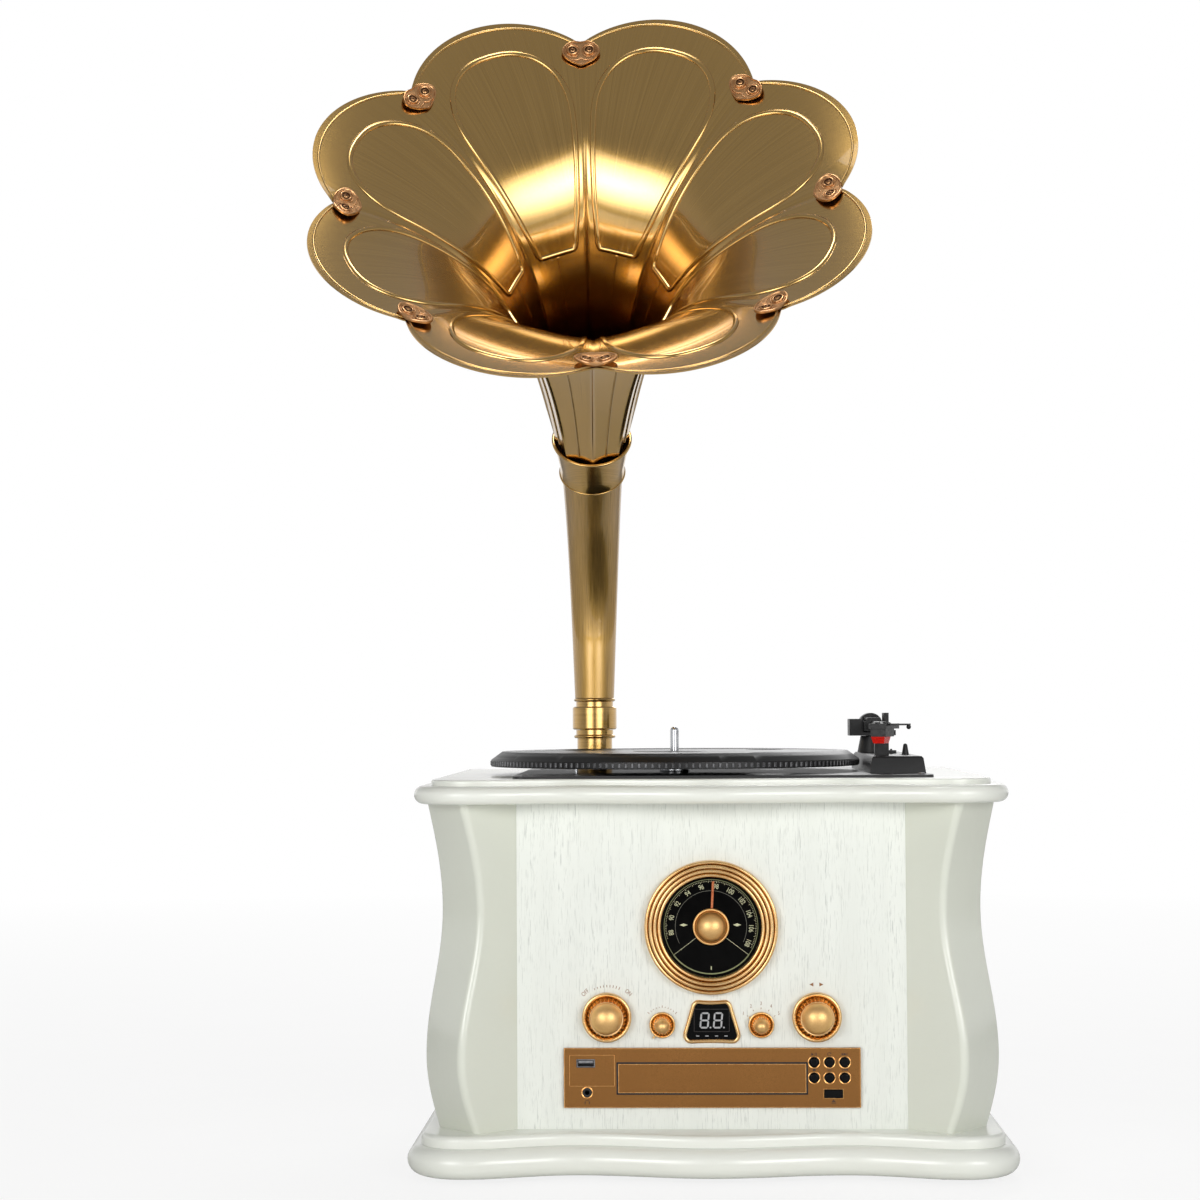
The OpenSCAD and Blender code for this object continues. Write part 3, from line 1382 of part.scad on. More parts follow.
module cd_tray() {
    top = door_z - 1;
    disc_y = door_back + 5 + disc_d / 2;
    color(black) place() difference() {
        translate([-tray_w / 2, door_back, top - tray_t]) cube([tray_w, tray_l, tray_t]);
        translate([0, disc_y, top - disc_seat]) cylinder(d = disc_d, h = tray_t);
        translate([0, disc_y, top - disc_seat - 0.8]) cylinder(d = 82, h = tray_t);
        translate([0, disc_y, top - 2 * tray_t]) cylinder(r = 19, h = 3 * tray_t);
        translate([-14, disc_y, top - 2 * tray_t]) cube([28, 46, 3 * tray_t]);
    }
}

module cd_drive() {
    inner = tray_w / 2 + 2 * pass_gap;
    outer = inner + drive_wall;
    z0 = door_z - drive_h / 2;
    rail_top = door_z - 1 - tray_t - pass_gap;
    disc_y = door_back + 5 + disc_d / 2;
    color(steel) place() {
        difference() {
            translate([-outer, panel_t, z0]) cube([2 * outer, drive_l, drive_h]);
            translate([-inner, panel_t - cut, z0 + drive_wall])
                cube([2 * inner, drive_l - drive_wall + cut, drive_h - 2 * drive_wall]);
        }
        for (s = [-1, 1])
            translate([s * (inner - 3) - 3.01, panel_t, z0 + drive_wall - 0.01])
                cube([6.02, drive_l - 4, rail_top - z0 - drive_wall + 0.01]);
        translate([0, disc_y, z0 + drive_wall - 0.01]) cylinder(r = 14, h = rail_top - z0 - drive_wall);
    }
}

module usb_socket() {
    w = usb_w - 4 * fit_gap;
    h = usb_h - 4 * fit_gap;
    shell = 0.6;
    back = 16;
    color(steel) place() translate([usb_x, 0, usb_z]) {
        difference() {
            translate([-w / 2, fascia_front + 0.4, -h / 2]) cube([w, back - fascia_front, h]);
            translate([-w / 2 + shell, fascia_front - cut, -h / 2 + shell])
                cube([w - 2 * shell, back - 2 - fascia_front, h - 2 * shell]);
        }
        translate([-w / 2 + 1.4, fascia_front + 1.4, 0.2]) cube([w - 2.8, back - fascia_front - 2, 1.6]);
    }
}

module headphone_jack() {
    depth = 14;
    color(black) place() on_front(jack_x, jack_z) difference() {
        union() {
            translate([0, 0, -panel_t - 0.01])
                cylinder(r = jack_d / 2 - fit_gap, h = panel_t + fascia_t + 0.31);
            translate([-6, -6, -panel_t - 8]) cube([12, 12, 8]);
        }
        translate([0, 0, fascia_t + 0.3 - depth]) cylinder(r = jack_bore_r, h = depth + cut);
    }
}

module round_button(i) {
    edge = 0.8;
    l = button_tail + fascia_t + button_out;
    place() on_front(button_place(i).x, button_place(i).y, button_tail) {
        cylinder(r = button_d / 2 + 1, h = 1.3);
        cylinder(d = button_d, h = l - edge);
        translate([0, 0, l - edge - 0.01]) cylinder(d1 = button_d, d2 = button_d - 2 * edge, h = edge + 0.01);
    }
}

module play_button() { color(black) round_button(0); }
module repeat_button() { color(black) round_button(1); }
module next_button() { color(black) round_button(2); }
module stop_button() { color(black) round_button(3); }
module program_button() { color(black) round_button(4); }
module back_button() { color(black) round_button(5); }

module open_button() {
    color(black) place() translate([open_x, 0, open_z]) {
        translate([-open_w / 2, fascia_front - button_out, -open_h / 2])
            cube([open_w, button_tail - fascia_front + button_out, open_h]);
        translate([-open_w / 2 - 1, button_tail - 1.3, -open_h / 2 - 1]) cube([open_w + 2, 1.3, open_h + 2]);
    }
}

module control_board() {
    switch_y0 = button_tail + button_travel + fit_gap;
    board_y0 = switch_y0 + 3.5;
    x0 = button_x - 17.5;
    x1 = button_x + 18.5;
    z0 = open_z - 9;
    z1 = button_z + button_pitch_z + 8;
    color(green) place() {
        translate([x0, board_y0, z0]) cube([x1 - x0, 1.6, z1 - z0]);
        for (x = [x0 + 2, x1 - 2], z = [z0 + 2, z1 - 2])
            on_front(x, z, board_y0 + 0.01) cylinder(r = 1.6, h = board_y0 - panel_t + 0.01);
        for (i = [0:5])
            on_front(button_place(i).x, button_place(i).y, board_y0 + 0.01) {
                translate([-3, -3, 0]) cube([6, 6, 2.2]);
                cylinder(r = 1.6, h = 3.51);
            }
        on_front(open_x, open_z, board_y0 + 0.01) {
            translate([-3, -3, 0]) cube([6, 6, 2.2]);
            cylinder(r = 1.6, h = 3.51);
        }
    }
}

module main_board() {
    t = 1.6;
    z = plinth_top + standoff_h;
    top = z + t - 0.01;
    inset = 6;
    chip = 22;
    chip_at = 20;
    chip_t = 2.4;
    sink_x = 60;
    sink = [30, 12, 18];
    can_r = 5.5;
    can_h = 20;
    can_pitch = 16;
    clock = [14, 14, 3];
    color(green) place() translate([board_x, board_y, 0]) {
        translate([0, 0, z]) cube([board_l, board_d, t]);
        for (x = [inset, board_l - inset], y = [inset, board_d - inset])
            translate([x, y, plinth_top]) cylinder(r = 3, h = standoff_h + 0.01);
        translate([chip_at, chip_at, top]) cube([chip, chip, chip_t]);
        translate([sink_x, sink.y, top]) cube(sink);
        for (i = [0:3])
            translate([sink_x + can_pitch * i, board_d - can_h, top]) cylinder(r = can_r, h = can_h);
        translate([chip, board_d - clock.x - sink.y, top]) cube(clock);
    }
}

module transformer() {
    foot = 2;
    color(steel) place() translate([trafo_x, trafo_y, plinth_top]) {
        cube([trafo_w, 40, foot]);
        translate([8, 4, foot - 0.01]) cube([trafo_w - 16, 32, trafo_h - foot]);
        translate([14, -4, 12]) cube([trafo_w - 28, 48, trafo_h - 20]);
    }
}

module speakers() {
    flange = 3;
    magnet_r = speaker_r * 0.52;
    section = [[0, 12], [16, 14], [speaker_r - 7, 0], [speaker_r, 0], [speaker_r, flange],
        [speaker_r - 6, flange],
        [magnet_r * 0.8, speaker_h - 14], [magnet_r, speaker_h - 14], [magnet_r, speaker_h], [0, speaker_h]];
    color(black) place() mirror_pair()
        translate([side_in, speaker_y, speaker_z]) rotate([0, -90, 0]) rotate_extrude() polygon(section);
}

// Mains inlet with its two round lobes, and two line output barrels
module rear_sockets() {
    w = inlet_w - 2 * fit_gap;
    h = inlet_h - 2 * fit_gap;
    body = 18;
    color(black) place() {
        translate([inlet_x, back_y, inlet_z]) difference() {
            union() {
                translate([-w / 2, -body, -h / 2]) cube([w, body + 0.01, h]);
                translate([-w / 2 - 3, 0, -h / 2 - 3]) cube([w + 6, 2, h + 6]);
            }
            for (x = [-1, 1] * 3.5)
                translate([x, 3, 0]) rotate([90, 0, 0]) cylinder(r = 4.2, h = 12);
        }
        for (i = [0, 1])
            translate([rca_x + i * rca_pitch, back_y, rca_z]) rotate([-90, 0, 0]) difference() {
                union() {
                    translate([0, 0, -back_t - 4]) cylinder(r = rca_r, h = back_t + 4 + rca_l);
                    translate([0, 0, -back_t - 6]) cylinder(r = rca_r + 2, h = 6 - fit_gap);
                    cylinder(r = rca_r + 2.2, h = 1);
                }
                translate([0, 0, rca_l - 8]) cylinder(r = 1.7, h = 8 + cut);
            }
    }
}

feet();
plinth();
corner_posts();
front_panel();
side_panels();
back_panel();
top_board();
fixing_screws();
deck_plate();
platter_spindle();
platter();
drive_motor();
motor_pulley();
drive_belt();
tonearm_base();
tonearm_yoke();
tonearm();
cartridge();
stylus();
counterweight();
cue_lever();
speed_switch();
horn_socket();
horn_driver();
horn_swivel();
horn_elbow();
horn_collar();
horn_petals();
petal_clips();
dial_bezel();
dial_face();
dial_needle();
dial_cap();
tuning_belt();
volume_knob();
tone_knob();
source_knob();
tuning_knob();
control_pots();
tuning_capacitor();
display_bezel();
display_window();
cd_fascia();
cd_door();
cd_tray();
cd_drive();
usb_socket();
headphone_jack();
play_button();
repeat_button();
next_button();
stop_button();
program_button();
back_button();
open_button();
control_board();
main_board();
transformer();
speakers();
rear_sockets();
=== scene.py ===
"""Looks of a horn music centre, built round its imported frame. Metres, Z up, front at -Y."""
import json
from math import atan, atan2, cos, exp, log, pi, radians, sin, sqrt, tan

import bpy
from mathutils import Matrix, Vector

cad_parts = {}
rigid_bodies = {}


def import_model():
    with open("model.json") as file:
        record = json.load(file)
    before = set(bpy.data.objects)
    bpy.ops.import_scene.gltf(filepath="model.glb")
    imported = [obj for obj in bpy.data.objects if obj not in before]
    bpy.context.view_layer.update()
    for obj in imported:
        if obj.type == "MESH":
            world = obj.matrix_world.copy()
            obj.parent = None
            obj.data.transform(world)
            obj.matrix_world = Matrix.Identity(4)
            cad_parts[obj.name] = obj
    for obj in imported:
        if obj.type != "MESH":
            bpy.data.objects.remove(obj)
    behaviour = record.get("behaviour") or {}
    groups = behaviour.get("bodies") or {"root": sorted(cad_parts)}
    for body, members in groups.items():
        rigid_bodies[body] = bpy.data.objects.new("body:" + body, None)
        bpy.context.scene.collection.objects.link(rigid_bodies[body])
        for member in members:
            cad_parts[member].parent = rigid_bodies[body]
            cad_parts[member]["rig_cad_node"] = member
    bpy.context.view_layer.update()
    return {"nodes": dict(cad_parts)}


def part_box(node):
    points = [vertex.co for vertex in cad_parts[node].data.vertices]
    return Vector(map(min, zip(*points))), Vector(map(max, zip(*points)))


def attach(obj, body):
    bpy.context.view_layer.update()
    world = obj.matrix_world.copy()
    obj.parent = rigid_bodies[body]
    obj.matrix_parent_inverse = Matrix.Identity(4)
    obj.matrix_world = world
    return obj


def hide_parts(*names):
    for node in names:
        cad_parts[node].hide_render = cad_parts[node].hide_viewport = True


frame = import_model()

# Camera. The photograph was taken with a long lens from just above the top board's height,
# a little right of the middle, looking slightly up at the horn.
camera_at = Vector((0.0175, -2.0871, 0.350))
camera_yaw = radians(-1.8)
camera_pitch = radians(2.38)
camera_roll = radians(-0.3)
focal_px = 2633
frame_px = 1200
camera_data = bpy.data.cameras.new("camera")
camera_data.sensor_width = 36
camera_data.lens = camera_data.sensor_width * focal_px / frame_px
camera = bpy.data.objects.new("camera", camera_data)
camera.matrix_world = (
    Matrix.Translation(camera_at)
    @ Matrix.Rotation(-camera_yaw, 4, "Z")
    @ Matrix.Rotation(pi / 2 + camera_pitch, 4, "X")
    @ Matrix.Rotation(camera_roll, 4, "Z")
)
bpy.context.scene.collection.objects.link(camera)
bpy.context.scene.camera = camera
bpy.context.scene.view_settings.view_transform = "Standard"


# Studio. A pale table under the feet, soft boxes at both sides of the camera and one above,
# and a white surround that the metal mirrors behind the object.
def screen(red, green, blue):
    """A colour as a screen shows it, 0 to 255, in the shader's linear values"""
    shown = (red, green, blue)
    return [((c / 255 + 0.055) / 1.055) ** 2.4 if c > 10 else c / 3295 for c in shown] + [1]


def wired(tree, kind, *values, **settings):
    """A new shader node; each value is linked to an input or set on it, in order, None skips it"""
    made = tree.nodes.new("ShaderNode" + kind)
    for name, setting in settings.items():
        setattr(made, name, setting)
    for socket, value in zip(made.inputs, values):
        if isinstance(value, bpy.types.NodeSocket):
            tree.links.new(value, socket)
        elif value is not None:
            socket.default_value = value
    return made


def soft_box(name, at, aim, width, height, power):
    """A studio box whose cloth is brightest in the middle"""
    lamp = bpy.data.lights.new(name, "AREA")
    lamp.shape = "RECTANGLE"
    lamp.size = width
    lamp.size_y = height
    lamp.energy = power
    lamp.use_nodes = True
    cloth = lamp.node_tree
    spot = wired(cloth, "NewGeometry").outputs["Parametric"]
    off_middle = wired(cloth, "VectorMath", spot, (0.5, 0.5, 0), operation="DISTANCE")
    falloff = wired(cloth, "MapRange", off_middle.outputs["Value"], 0, 0.5, 3, 0.3)
    cloth.links.new(falloff.outputs[0], cloth.nodes["Emission"].inputs["Strength"])
    holder = bpy.data.objects.new(name, lamp)
    holder.location = at
    holder.rotation_euler = (Vector(aim) - Vector(at)).to_track_quat("-Z", "Y").to_euler()
    bpy.context.scene.collection.objects.link(holder)


soft_box("left_box", (-1.14, -2.3, 0.74), (-0.06, 0, 0.66), 1.95, 1.28, 24.5)
soft_box("right_box", (1.2, -2.2, 0.74), (-0.06, 0, 0.66), 2.0, 1.28, 23.5)
soft_box("top_box", (-0.08, -0.05, 2.5), (-0.05, 0, 0.3), 0.7, 0.7, 9)
soft_box("back_box", (0.3, 2.2, 1.4), (0, 0, 0.4), 1.4, 1.4, 12)

world = bpy.data.worlds.new("studio")
bpy.context.scene.world = world
world.use_nodes = True
surround = world.node_tree
white = screen(255, 255, 255)
lighting = surround.nodes["Background"]
lighting.inputs["Color"].default_value = white
lighting.inputs["Strength"].default_value = 0.2
split = wired(surround, "SeparateXYZ", wired(surround, "TexCoord").outputs["Generated"])
room = wired(surround, "MapRange", split.outputs["Y"], -0.75, 0.35, 0.3, 1)
height = wired(surround, "MapRange", split.outputs["Z"], 0.2, 0.55)
ceiling = wired(surround, "Mix", height.outputs[0], None, room.outputs[0], 0.36)
rays = wired(surround, "LightPath").outputs
by_camera = rays["Is Camera Ray"]
mirrored = rays["Is Glossy Ray"]
for ray in (rays["Is Transmission Ray"], by_camera):
    mirrored = wired(surround, "Math", mirrored, ray, operation="MAXIMUM").outputs[0]
strength = wired(surround, "Math", ceiling.outputs[0], by_camera, operation="MAXIMUM")
seen = wired(surround, "Background", white, strength.outputs[0])
blend = wired(surround, "MixShader", mirrored, lighting.outputs[0], seen.outputs[0])
surround.links.new(blend.outputs[0], surround.nodes["World Output"].inputs["Surface"])


class Finish:
    """A procedural finish: one principled shader, with patterns on the piece's own coordinates"""

    def __init__(self, name, colour, roughness, metallic=0.0, coat=0.0, coat_roughness=0.03,
                 specular=0.5, source="Object"):
        self.material = bpy.data.materials.new(name)
        self.material.use_nodes = True
        self.tree = self.material.node_tree
        self.shader = self.tree.nodes["Principled BSDF"]
        self.hold("Base Color", screen(*colour))
        self.hold("Roughness", roughness)
        self.hold("Metallic", metallic)
        self.hold("Coat Weight", coat)
        self.hold("Coat Roughness", coat_roughness)
        self.hold("Specular IOR Level", specular)
        self.source = self.node("TexCoord").outputs[source]

    def node(self, kind, *values, **settings):
        return wired(self.tree, kind, *values, **settings)

    def link(self, output, socket):
        self.tree.links.new(output, socket)

    def hold(self, socket, value):
        """Sets a value that is the same all over"""
        self.shader.inputs[socket].default_value = value

    def noise(self, scale, stretch=(1, 1, 1), detail=3.0, roughness=0.5):
        """Clouds of the given number a metre, or on a UV map a width, drawn out by stretch"""
        drawn_out = self.node("Mapping", self.source, None, None, stretch).outputs[0]
        return self.node("TexNoise", drawn_out, None, scale, detail, roughness).outputs["Fac"]

    def ranged(self, value, low, high, start, end):
        """A value moved from low to high onto start to end"""
        return self.node("MapRange", value, low, high, start, end).outputs[0]

    def tint(self, value, low, high, colour):
        """Turns to a colour where the value is at low or under"""
        base = self.shader.inputs["Base Color"]
        mix = self.node("Mix", self.ranged(value, low, high, 0, 1), data_type="RGBA")
        mix.inputs[6].default_value = screen(*colour)
        if base.is_linked:
            self.link(base.links[0].from_socket, mix.inputs[7])
        else:
            mix.inputs[7].default_value = base.default_value
        self.link(mix.outputs[2], base)

    def roughen(self, value, low, high, start, end):
        self.link(self.ranged(value, low, high, start, end), self.shader.inputs["Roughness"])

    def emboss(self, value, depth, strength=1.0):
        """Raises the surface by depth metres where the value is 1"""
        bump = self.node("Bump", strength, depth)
        normal = self.shader.inputs["Normal"]
        if normal.is_linked:
            self.link(normal.links[0].from_socket, bump.inputs["Normal"])
        self.link(value, bump.inputs["Height"])
        self.link(bump.outputs[0], normal)

    def clouded(self, colour, scale, low=0.35, high=0.6, detail=3.0):
        """Clouds of another colour"""
        self.tint(self.noise(scale, detail=detail), low, high, colour)
        return self

    def worn(self, start, end, *pattern, **more):
        """Roughness that drifts between two values"""
        self.roughen(self.noise(*pattern, **more), 0.3, 0.7, start, end)
        return self

    def pitted(self, depth, scale):
        self.emboss(self.noise(scale), depth)
        return self


table = Finish("table_white", (247, 247, 246), 0.6).clouded((243, 243, 242), 9, detail=5)
bpy.ops.mesh.primitive_plane_add(size=14)
floor = bpy.context.object
floor.name = "table"
floor.data.materials.append(table.material)
away = table.node("VectorMath", table.source, operation="LENGTH").outputs["Value"]
share = table.ranged(away, 0.5, 3, 0.84, 1)
seen_by_camera = table.node("LightPath").outputs["Is Camera Ray"]
whitened = table.node("Math", seen_by_camera, share, operation="MULTIPLY").outputs[0]
backdrop = table.node("Background", white).outputs[0]
floor_mix = table.node("MixShader", whitened, table.shader.outputs[0], backdrop)
table.link(floor_mix.outputs[0], table.tree.nodes["Material Output"].inputs["Surface"])

# Feet. Four turned rubber feet under the plinth, glued in place.
panel_low, panel_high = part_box("front_panel")
panel_middle = (panel_low.x + panel_high.x) / 2
cabinet = Matrix.Translation((panel_middle, panel_low.y, 0)) @ Matrix.Scale(0.001, 4)


def choose(piece):
    """Leaves one piece selected and active"""
    bpy.ops.object.select_all(action="DESELECT")
    piece.select_set(True)
    bpy.context.view_layer.objects.active = piece


def apply(piece, kind, **values):
    """Adds a modifier with these values and applies it"""
    choose(piece)
    modifier = piece.modifiers.new(kind.lower(), kind)
    for name, value in values.items():
        setattr(modifier, name, value)
    bpy.ops.object.modifier_apply(modifier=modifier.name)


def coated(piece, *finishes):
    piece.data.materials.clear()
    for finish in finishes:
        piece.data.materials.append(finish.material)


def finished(piece, finish, body, slot, *nodes):
    """Gives a piece its body and, if given, one finish, and hides the nodes that it stands for;
    slot is not used
    """
    if finish:
        coated(piece, finish)
    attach(piece, body)
    if nodes:
        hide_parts(*nodes)
    return piece


def smooth(piece, angle=32):
    choose(piece)
    bpy.ops.object.shade_smooth_by_angle(angle=radians(angle))


def copied_node(name, finish, body, slot, edge=0.0, angle=32):
    """A node's own shape as a merged mesh, with its edges rounded by edge metres"""
    choose(frame["nodes"][name])
    bpy.ops.object.duplicate()
    piece = bpy.context.object
    piece.name = name + "_dressed"
    del piece["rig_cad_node"]
    piece.parent = None
    bpy.ops.object.mode_set(mode="EDIT")
    bpy.ops.mesh.select_all(action="SELECT")
    bpy.ops.mesh.remove_doubles(threshold=0.00001)
    bpy.ops.mesh.dissolve_limited(angle_limit=radians(0.5))
    bpy.ops.object.mode_set(mode="OBJECT")
    if edge:
        apply(piece, "BEVEL", width=edge, segments=2, limit_method="ANGLE", angle_limit=radians(40))
    smooth(piece, angle)
    apply(piece, "WEIGHTED_NORMAL", keep_sharp=True)
    return finished(piece, finish, body, slot, name)


foot_rubber = Finish("foot_rubber", (34, 34, 34), 0.75).clouded((46, 45, 44), 500, 0.4, 0.6)
foot_rubber.pitted(0.0001, 900)
copied_node("feet", foot_rubber, "cabinet", "rubber_black", 0.0006)


# Plinth and top board. Two serpentine boards with moulded edges, planed, primed and painted
# gloss white; the plinth is screwed on under the body and the top board glued on above it.
def shaped_sheet(name, across, along, point, merged=False):
    """A grid whose vertices are moved to point(u, v), with u and v from 0 to 1, in millimetres"""
    bpy.ops.object.select_all(action="DESELECT")
    bpy.ops.mesh.primitive_grid_add(x_subdivisions=across, y_subdivisions=along, size=1)
    piece = bpy.context.object
    piece.name = name
    for vertex in piece.data.vertices:
        vertex.co = point(vertex.co.x + 0.5, vertex.co.y + 0.5)
    if merged:
        tidy(piece)
    return piece


def tidy(piece, close=False, gap=0.002):
    """Merges doubled points, closes open ends if asked, and turns all faces outwards"""
    choose(piece)
    bpy.ops.object.mode_set(mode="EDIT")
    bpy.ops.mesh.select_all(action="SELECT")
    bpy.ops.mesh.remove_doubles(threshold=gap)
    if close:
        bpy.ops.mesh.fill_holes(sides=0)
    bpy.ops.mesh.select_all(action="SELECT")
    bpy.ops.mesh.normals_make_consistent(inside=False)
    bpy.ops.object.mode_set(mode="OBJECT")


def moulded(name, outline, profile, place=Matrix(), close=True):
    """A closed outline drawn in and raised by each inset and height of the profile"""
    count = len(outline)
    squares = []
    for i, spot in enumerate(outline):
        before = (spot - outline[i - 1]).normalized()
        after = (outline[(i + 1) % count] - spot).normalized()
        run = (before + after).normalized()
        stretch = 1 / max(0.5, sqrt(max(0.0, (1 + before.dot(after)) / 2)))
        squares.append(Vector((run.y, -run.x)) * stretch)

    def spot_at(u, v):
        i = round(u * count) % count
        inset, height = profile[round(v * (len(profile) - 1))]
        flat = outline[i] - squares[i] * inset
        return flat.to_3d() + Vector((0, 0, height))

    piece = shaped_sheet(name, count, len(profile) - 1, spot_at)
    tidy(piece, close)
    piece.data.transform(cabinet @ place)
    return piece


gloss_white = Finish("gloss_white", (238, 240, 232), 0.24, coat=0.35, coat_roughness=0.08)
gloss_white.clouded((234, 236, 227), 5, 0.3, 0.65, detail=4).pitted(0.00012, 160)
gloss_white.emboss(gloss_white.noise(14), 0.0009, 0.5)

lobe_r = 43
lobe_out = 48
middle_out = 44
recess_out = 29
recess_x = 100
board_back = 350


def serpentine(width):
    """Outline of a board: a bowed middle, a recess at each side and round corner lobes"""
    lobe_x = width / 2 - lobe_r
    half = [Vector((0, -middle_out))]
    for i in range(1, 25):
        out = recess_out + (middle_out - recess_out) * (1 + cos(pi * i / 24)) / 2
        half.append(Vector((recess_x * i / 24, -out)))
    for i in range(1, 17):
        out = recess_out + (lobe_out - recess_out) * (1 - cos(pi * i / 16)) / 2
        half.append(Vector((recess_x + (lobe_x - recess_x) * i / 16, -out)))
    for i in range(1, 21):
        a = pi / 2 * i / 20
        half.append(Vector((lobe_x + lobe_r * sin(a), lobe_r - lobe_out - lobe_r * cos(a))))
    half += [Vector((width / 2, 120)), Vector((width / 2, board_back))]
    return half + [Vector((-p.x, p.y)) for p in reversed(half[1:])]


def round_edge(low, height, steps=14):
    """Half round edge as pairs of inset and height"""
    return [
        (height / 2 * (1 - cos(a)), low + height / 2 * (1 + sin(a)))
        for a in (-pi / 2 + pi * i / steps for i in range(steps + 1))
    ]


def quarter_edge(inset, top, radius, steps=6):
    return [
        (inset + radius * (1 - cos(a)), top - radius * (1 - sin(a)))
        for a in (pi / 2 * i / steps for i in range(steps + 1))
    ]


foot_h = 5
plinth_w = 456
plinth_bull = 22
plinth_step = 10.5
plinth_top = 36
board_w = 445
body_top = 280
board_bull = 13.5
board_step = 13
board_top = 298
cove = 1.2


def board_edge(low, bull, step, top, radius):
    """Profile of a board: a half round, a cove over it and a rounded step up to the top"""
    return (
        [(bull / 2 + 6, low)] + round_edge(low, bull)
        + [(step, low + bull + 0.05), (step, low + bull + cove)] + quarter_edge(step, top, radius)
    )


plinth_edge = board_edge(foot_h, plinth_bull, plinth_step, plinth_top, 4)
top_edge = board_edge(body_top, board_bull, board_step, board_top, 1.5)
plinth = moulded("plinth_board", serpentine(plinth_w), plinth_edge)
top_board = moulded("top_board_dressed", serpentine(board_w), top_edge)
for piece, node in ((plinth, "plinth"), (top_board, "top_board")):
    smooth(piece, 38)
    finished(piece, gloss_white, "cabinet", "white_paint", node)

# Corner posts. Four solid posts with an S curve from foot to top, each front one with a ridge
# between its two faces, painted gloss white and glued between the boards.
body_h = body_top - plinth_top
panel_half = 146
side_inner = 186
ridge_x = 172
ridge_out = 22
post_outer_x = 203
post_rows = 56
foot_out = 3
belly_h = 54
belly_out = 14
waist_h = 164
head_out = 12.5
rear_y0 = 300
rear_y1 = 332


def swell(h):
    """How far a post stands out at a height above the plinth"""
    if h < belly_h:
        return foot_out + (belly_out - foot_out) * sin(pi / 2 * h / belly_h)
    if h < waist_h:
        return belly_out * (1 + cos(pi * (h - belly_h) / (waist_h - belly_h))) / 2
    return head_out * (1 - cos(pi / 2 * (h - waist_h) / (body_h - waist_h)))


def rounded(corners, steps=5):
    """Closed outline through corners, each given as x, y and the radius that rounds it"""
    points = []
    for i, (x, y, radius) in enumerate(corners):
        corner = Vector((x, y))
        back = Vector(corners[i - 1][:2]) - corner
        ahead = Vector(corners[(i + 1) % len(corners)][:2]) - corner
        if radius == 0:
            points.append(corner)
            continue
        half_turn = back.angle(ahead) / 2
        reach = radius / tan(half_turn)
        start = corner + back.normalized() * reach
        end = corner + ahead.normalized() * reach
        middle = (back.normalized() + ahead.normalized()).normalized()
        centre = corner + middle * radius / sin(half_turn)
        for k in range(steps + 1):
            way = (start - centre).lerp(end - centre, k / steps)
            points.append(centre + way.normalized() * radius)
    return points


def front_section(h):
    b = swell(h)
    out = post_outer_x + 0.9 * b
    return rounded([
        (panel_half, 0.6, 0), (ridge_x + b, -ridge_out - b, 5), (out, 13, 4), (out, 40, 1),
        (side_inner - 2, 40, 0), (panel_half, 12, 0),
    ])


def rear_section(h):
    inner, out = side_inner - 2, post_outer_x + 0.9 * swell(h)
    return rounded([(inner, rear_y0, 0), (out, rear_y0, 1), (out, rear_y1, 3), (inner, rear_y1, 0)])


# The posts' finish is the boards' gloss white a shade darker: painted shade for the posts' faces.
post_white_painted_shade = Finish("post_white_painted_shade", (225, 228, 216), 0.24, coat=0.35, coat_roughness=0.08)
post_white_painted_shade.clouded((220, 223, 210), 5, 0.3, 0.65, detail=4).pitted(0.00012, 160)
for side in (1, -1):
    for end, section in (("front", front_section), ("rear", rear_section)):
        rows = [section(body_h * j / post_rows) for j in range(post_rows + 1)]
        count = len(rows[0])

        def on_post(u, v):
            j = round(v * post_rows)
            spot = rows[j][round(u * count) % count]
            return Vector((side * spot.x, spot.y, plinth_top + body_h * j / post_rows))

        side_name = "right" if side > 0 else "left"
        post = shaped_sheet(f"{end}_post_{side_name}", count, post_rows, on_post)
        tidy(post, close=True)
        post.data.transform(cabinet)
        smooth(post, 30)
        finished(post, post_white_painted_shade, "cabinet", "white_paint", "corner_posts")

# Panels. The front panel is veneered board with open upright grain under thin white paint; the
# side panels are plain gloss with slots over the speakers, and the back is black hardboard.
grained_white = Finish("grained_white", (236, 239, 232), 0.42)
pores = grained_white.noise(1, (2300, 2300, 75), detail=2.5, roughness=0.62)
figure = grained_white.noise(1, (60, 60, 5), detail=3)
grained_white.tint(pores, 0.34, 0.41, (199, 203, 197))
grained_white.tint(figure, 0.30, 0.62, (232, 235, 228))
grained_white.emboss(grained_white.ranged(pores, 0.28, 0.42, 0, 1), 0.0001)
grained_white.roughen(pores, 0.3, 0.6, 0.55, 0.38)
black_board = Finish("black_board", (40, 40, 42), 0.6)
black_board.clouded((30, 30, 31), 260, 0.4, 0.6, detail=5).pitted(0.0001, 700)
copied_node("front_panel", grained_white, "cabinet", "white_grain", 0.0004)
copied_node("side_panels", gloss_white, "cabinet", "white_paint", 0.0005)
copied_node("back_panel", black_board, "cabinet", "black_board", 0.0004)
screw_zinc = Finish("screw_zinc", (150, 150, 152), 0.35, metallic=1).worn(0.25, 0.5, 900)
screw_zinc.clouded((120, 120, 124), 400, 0.3, 0.55)
copied_node("fixing_screws", screw_zinc, "cabinet", "steel_plain", 0.00015)

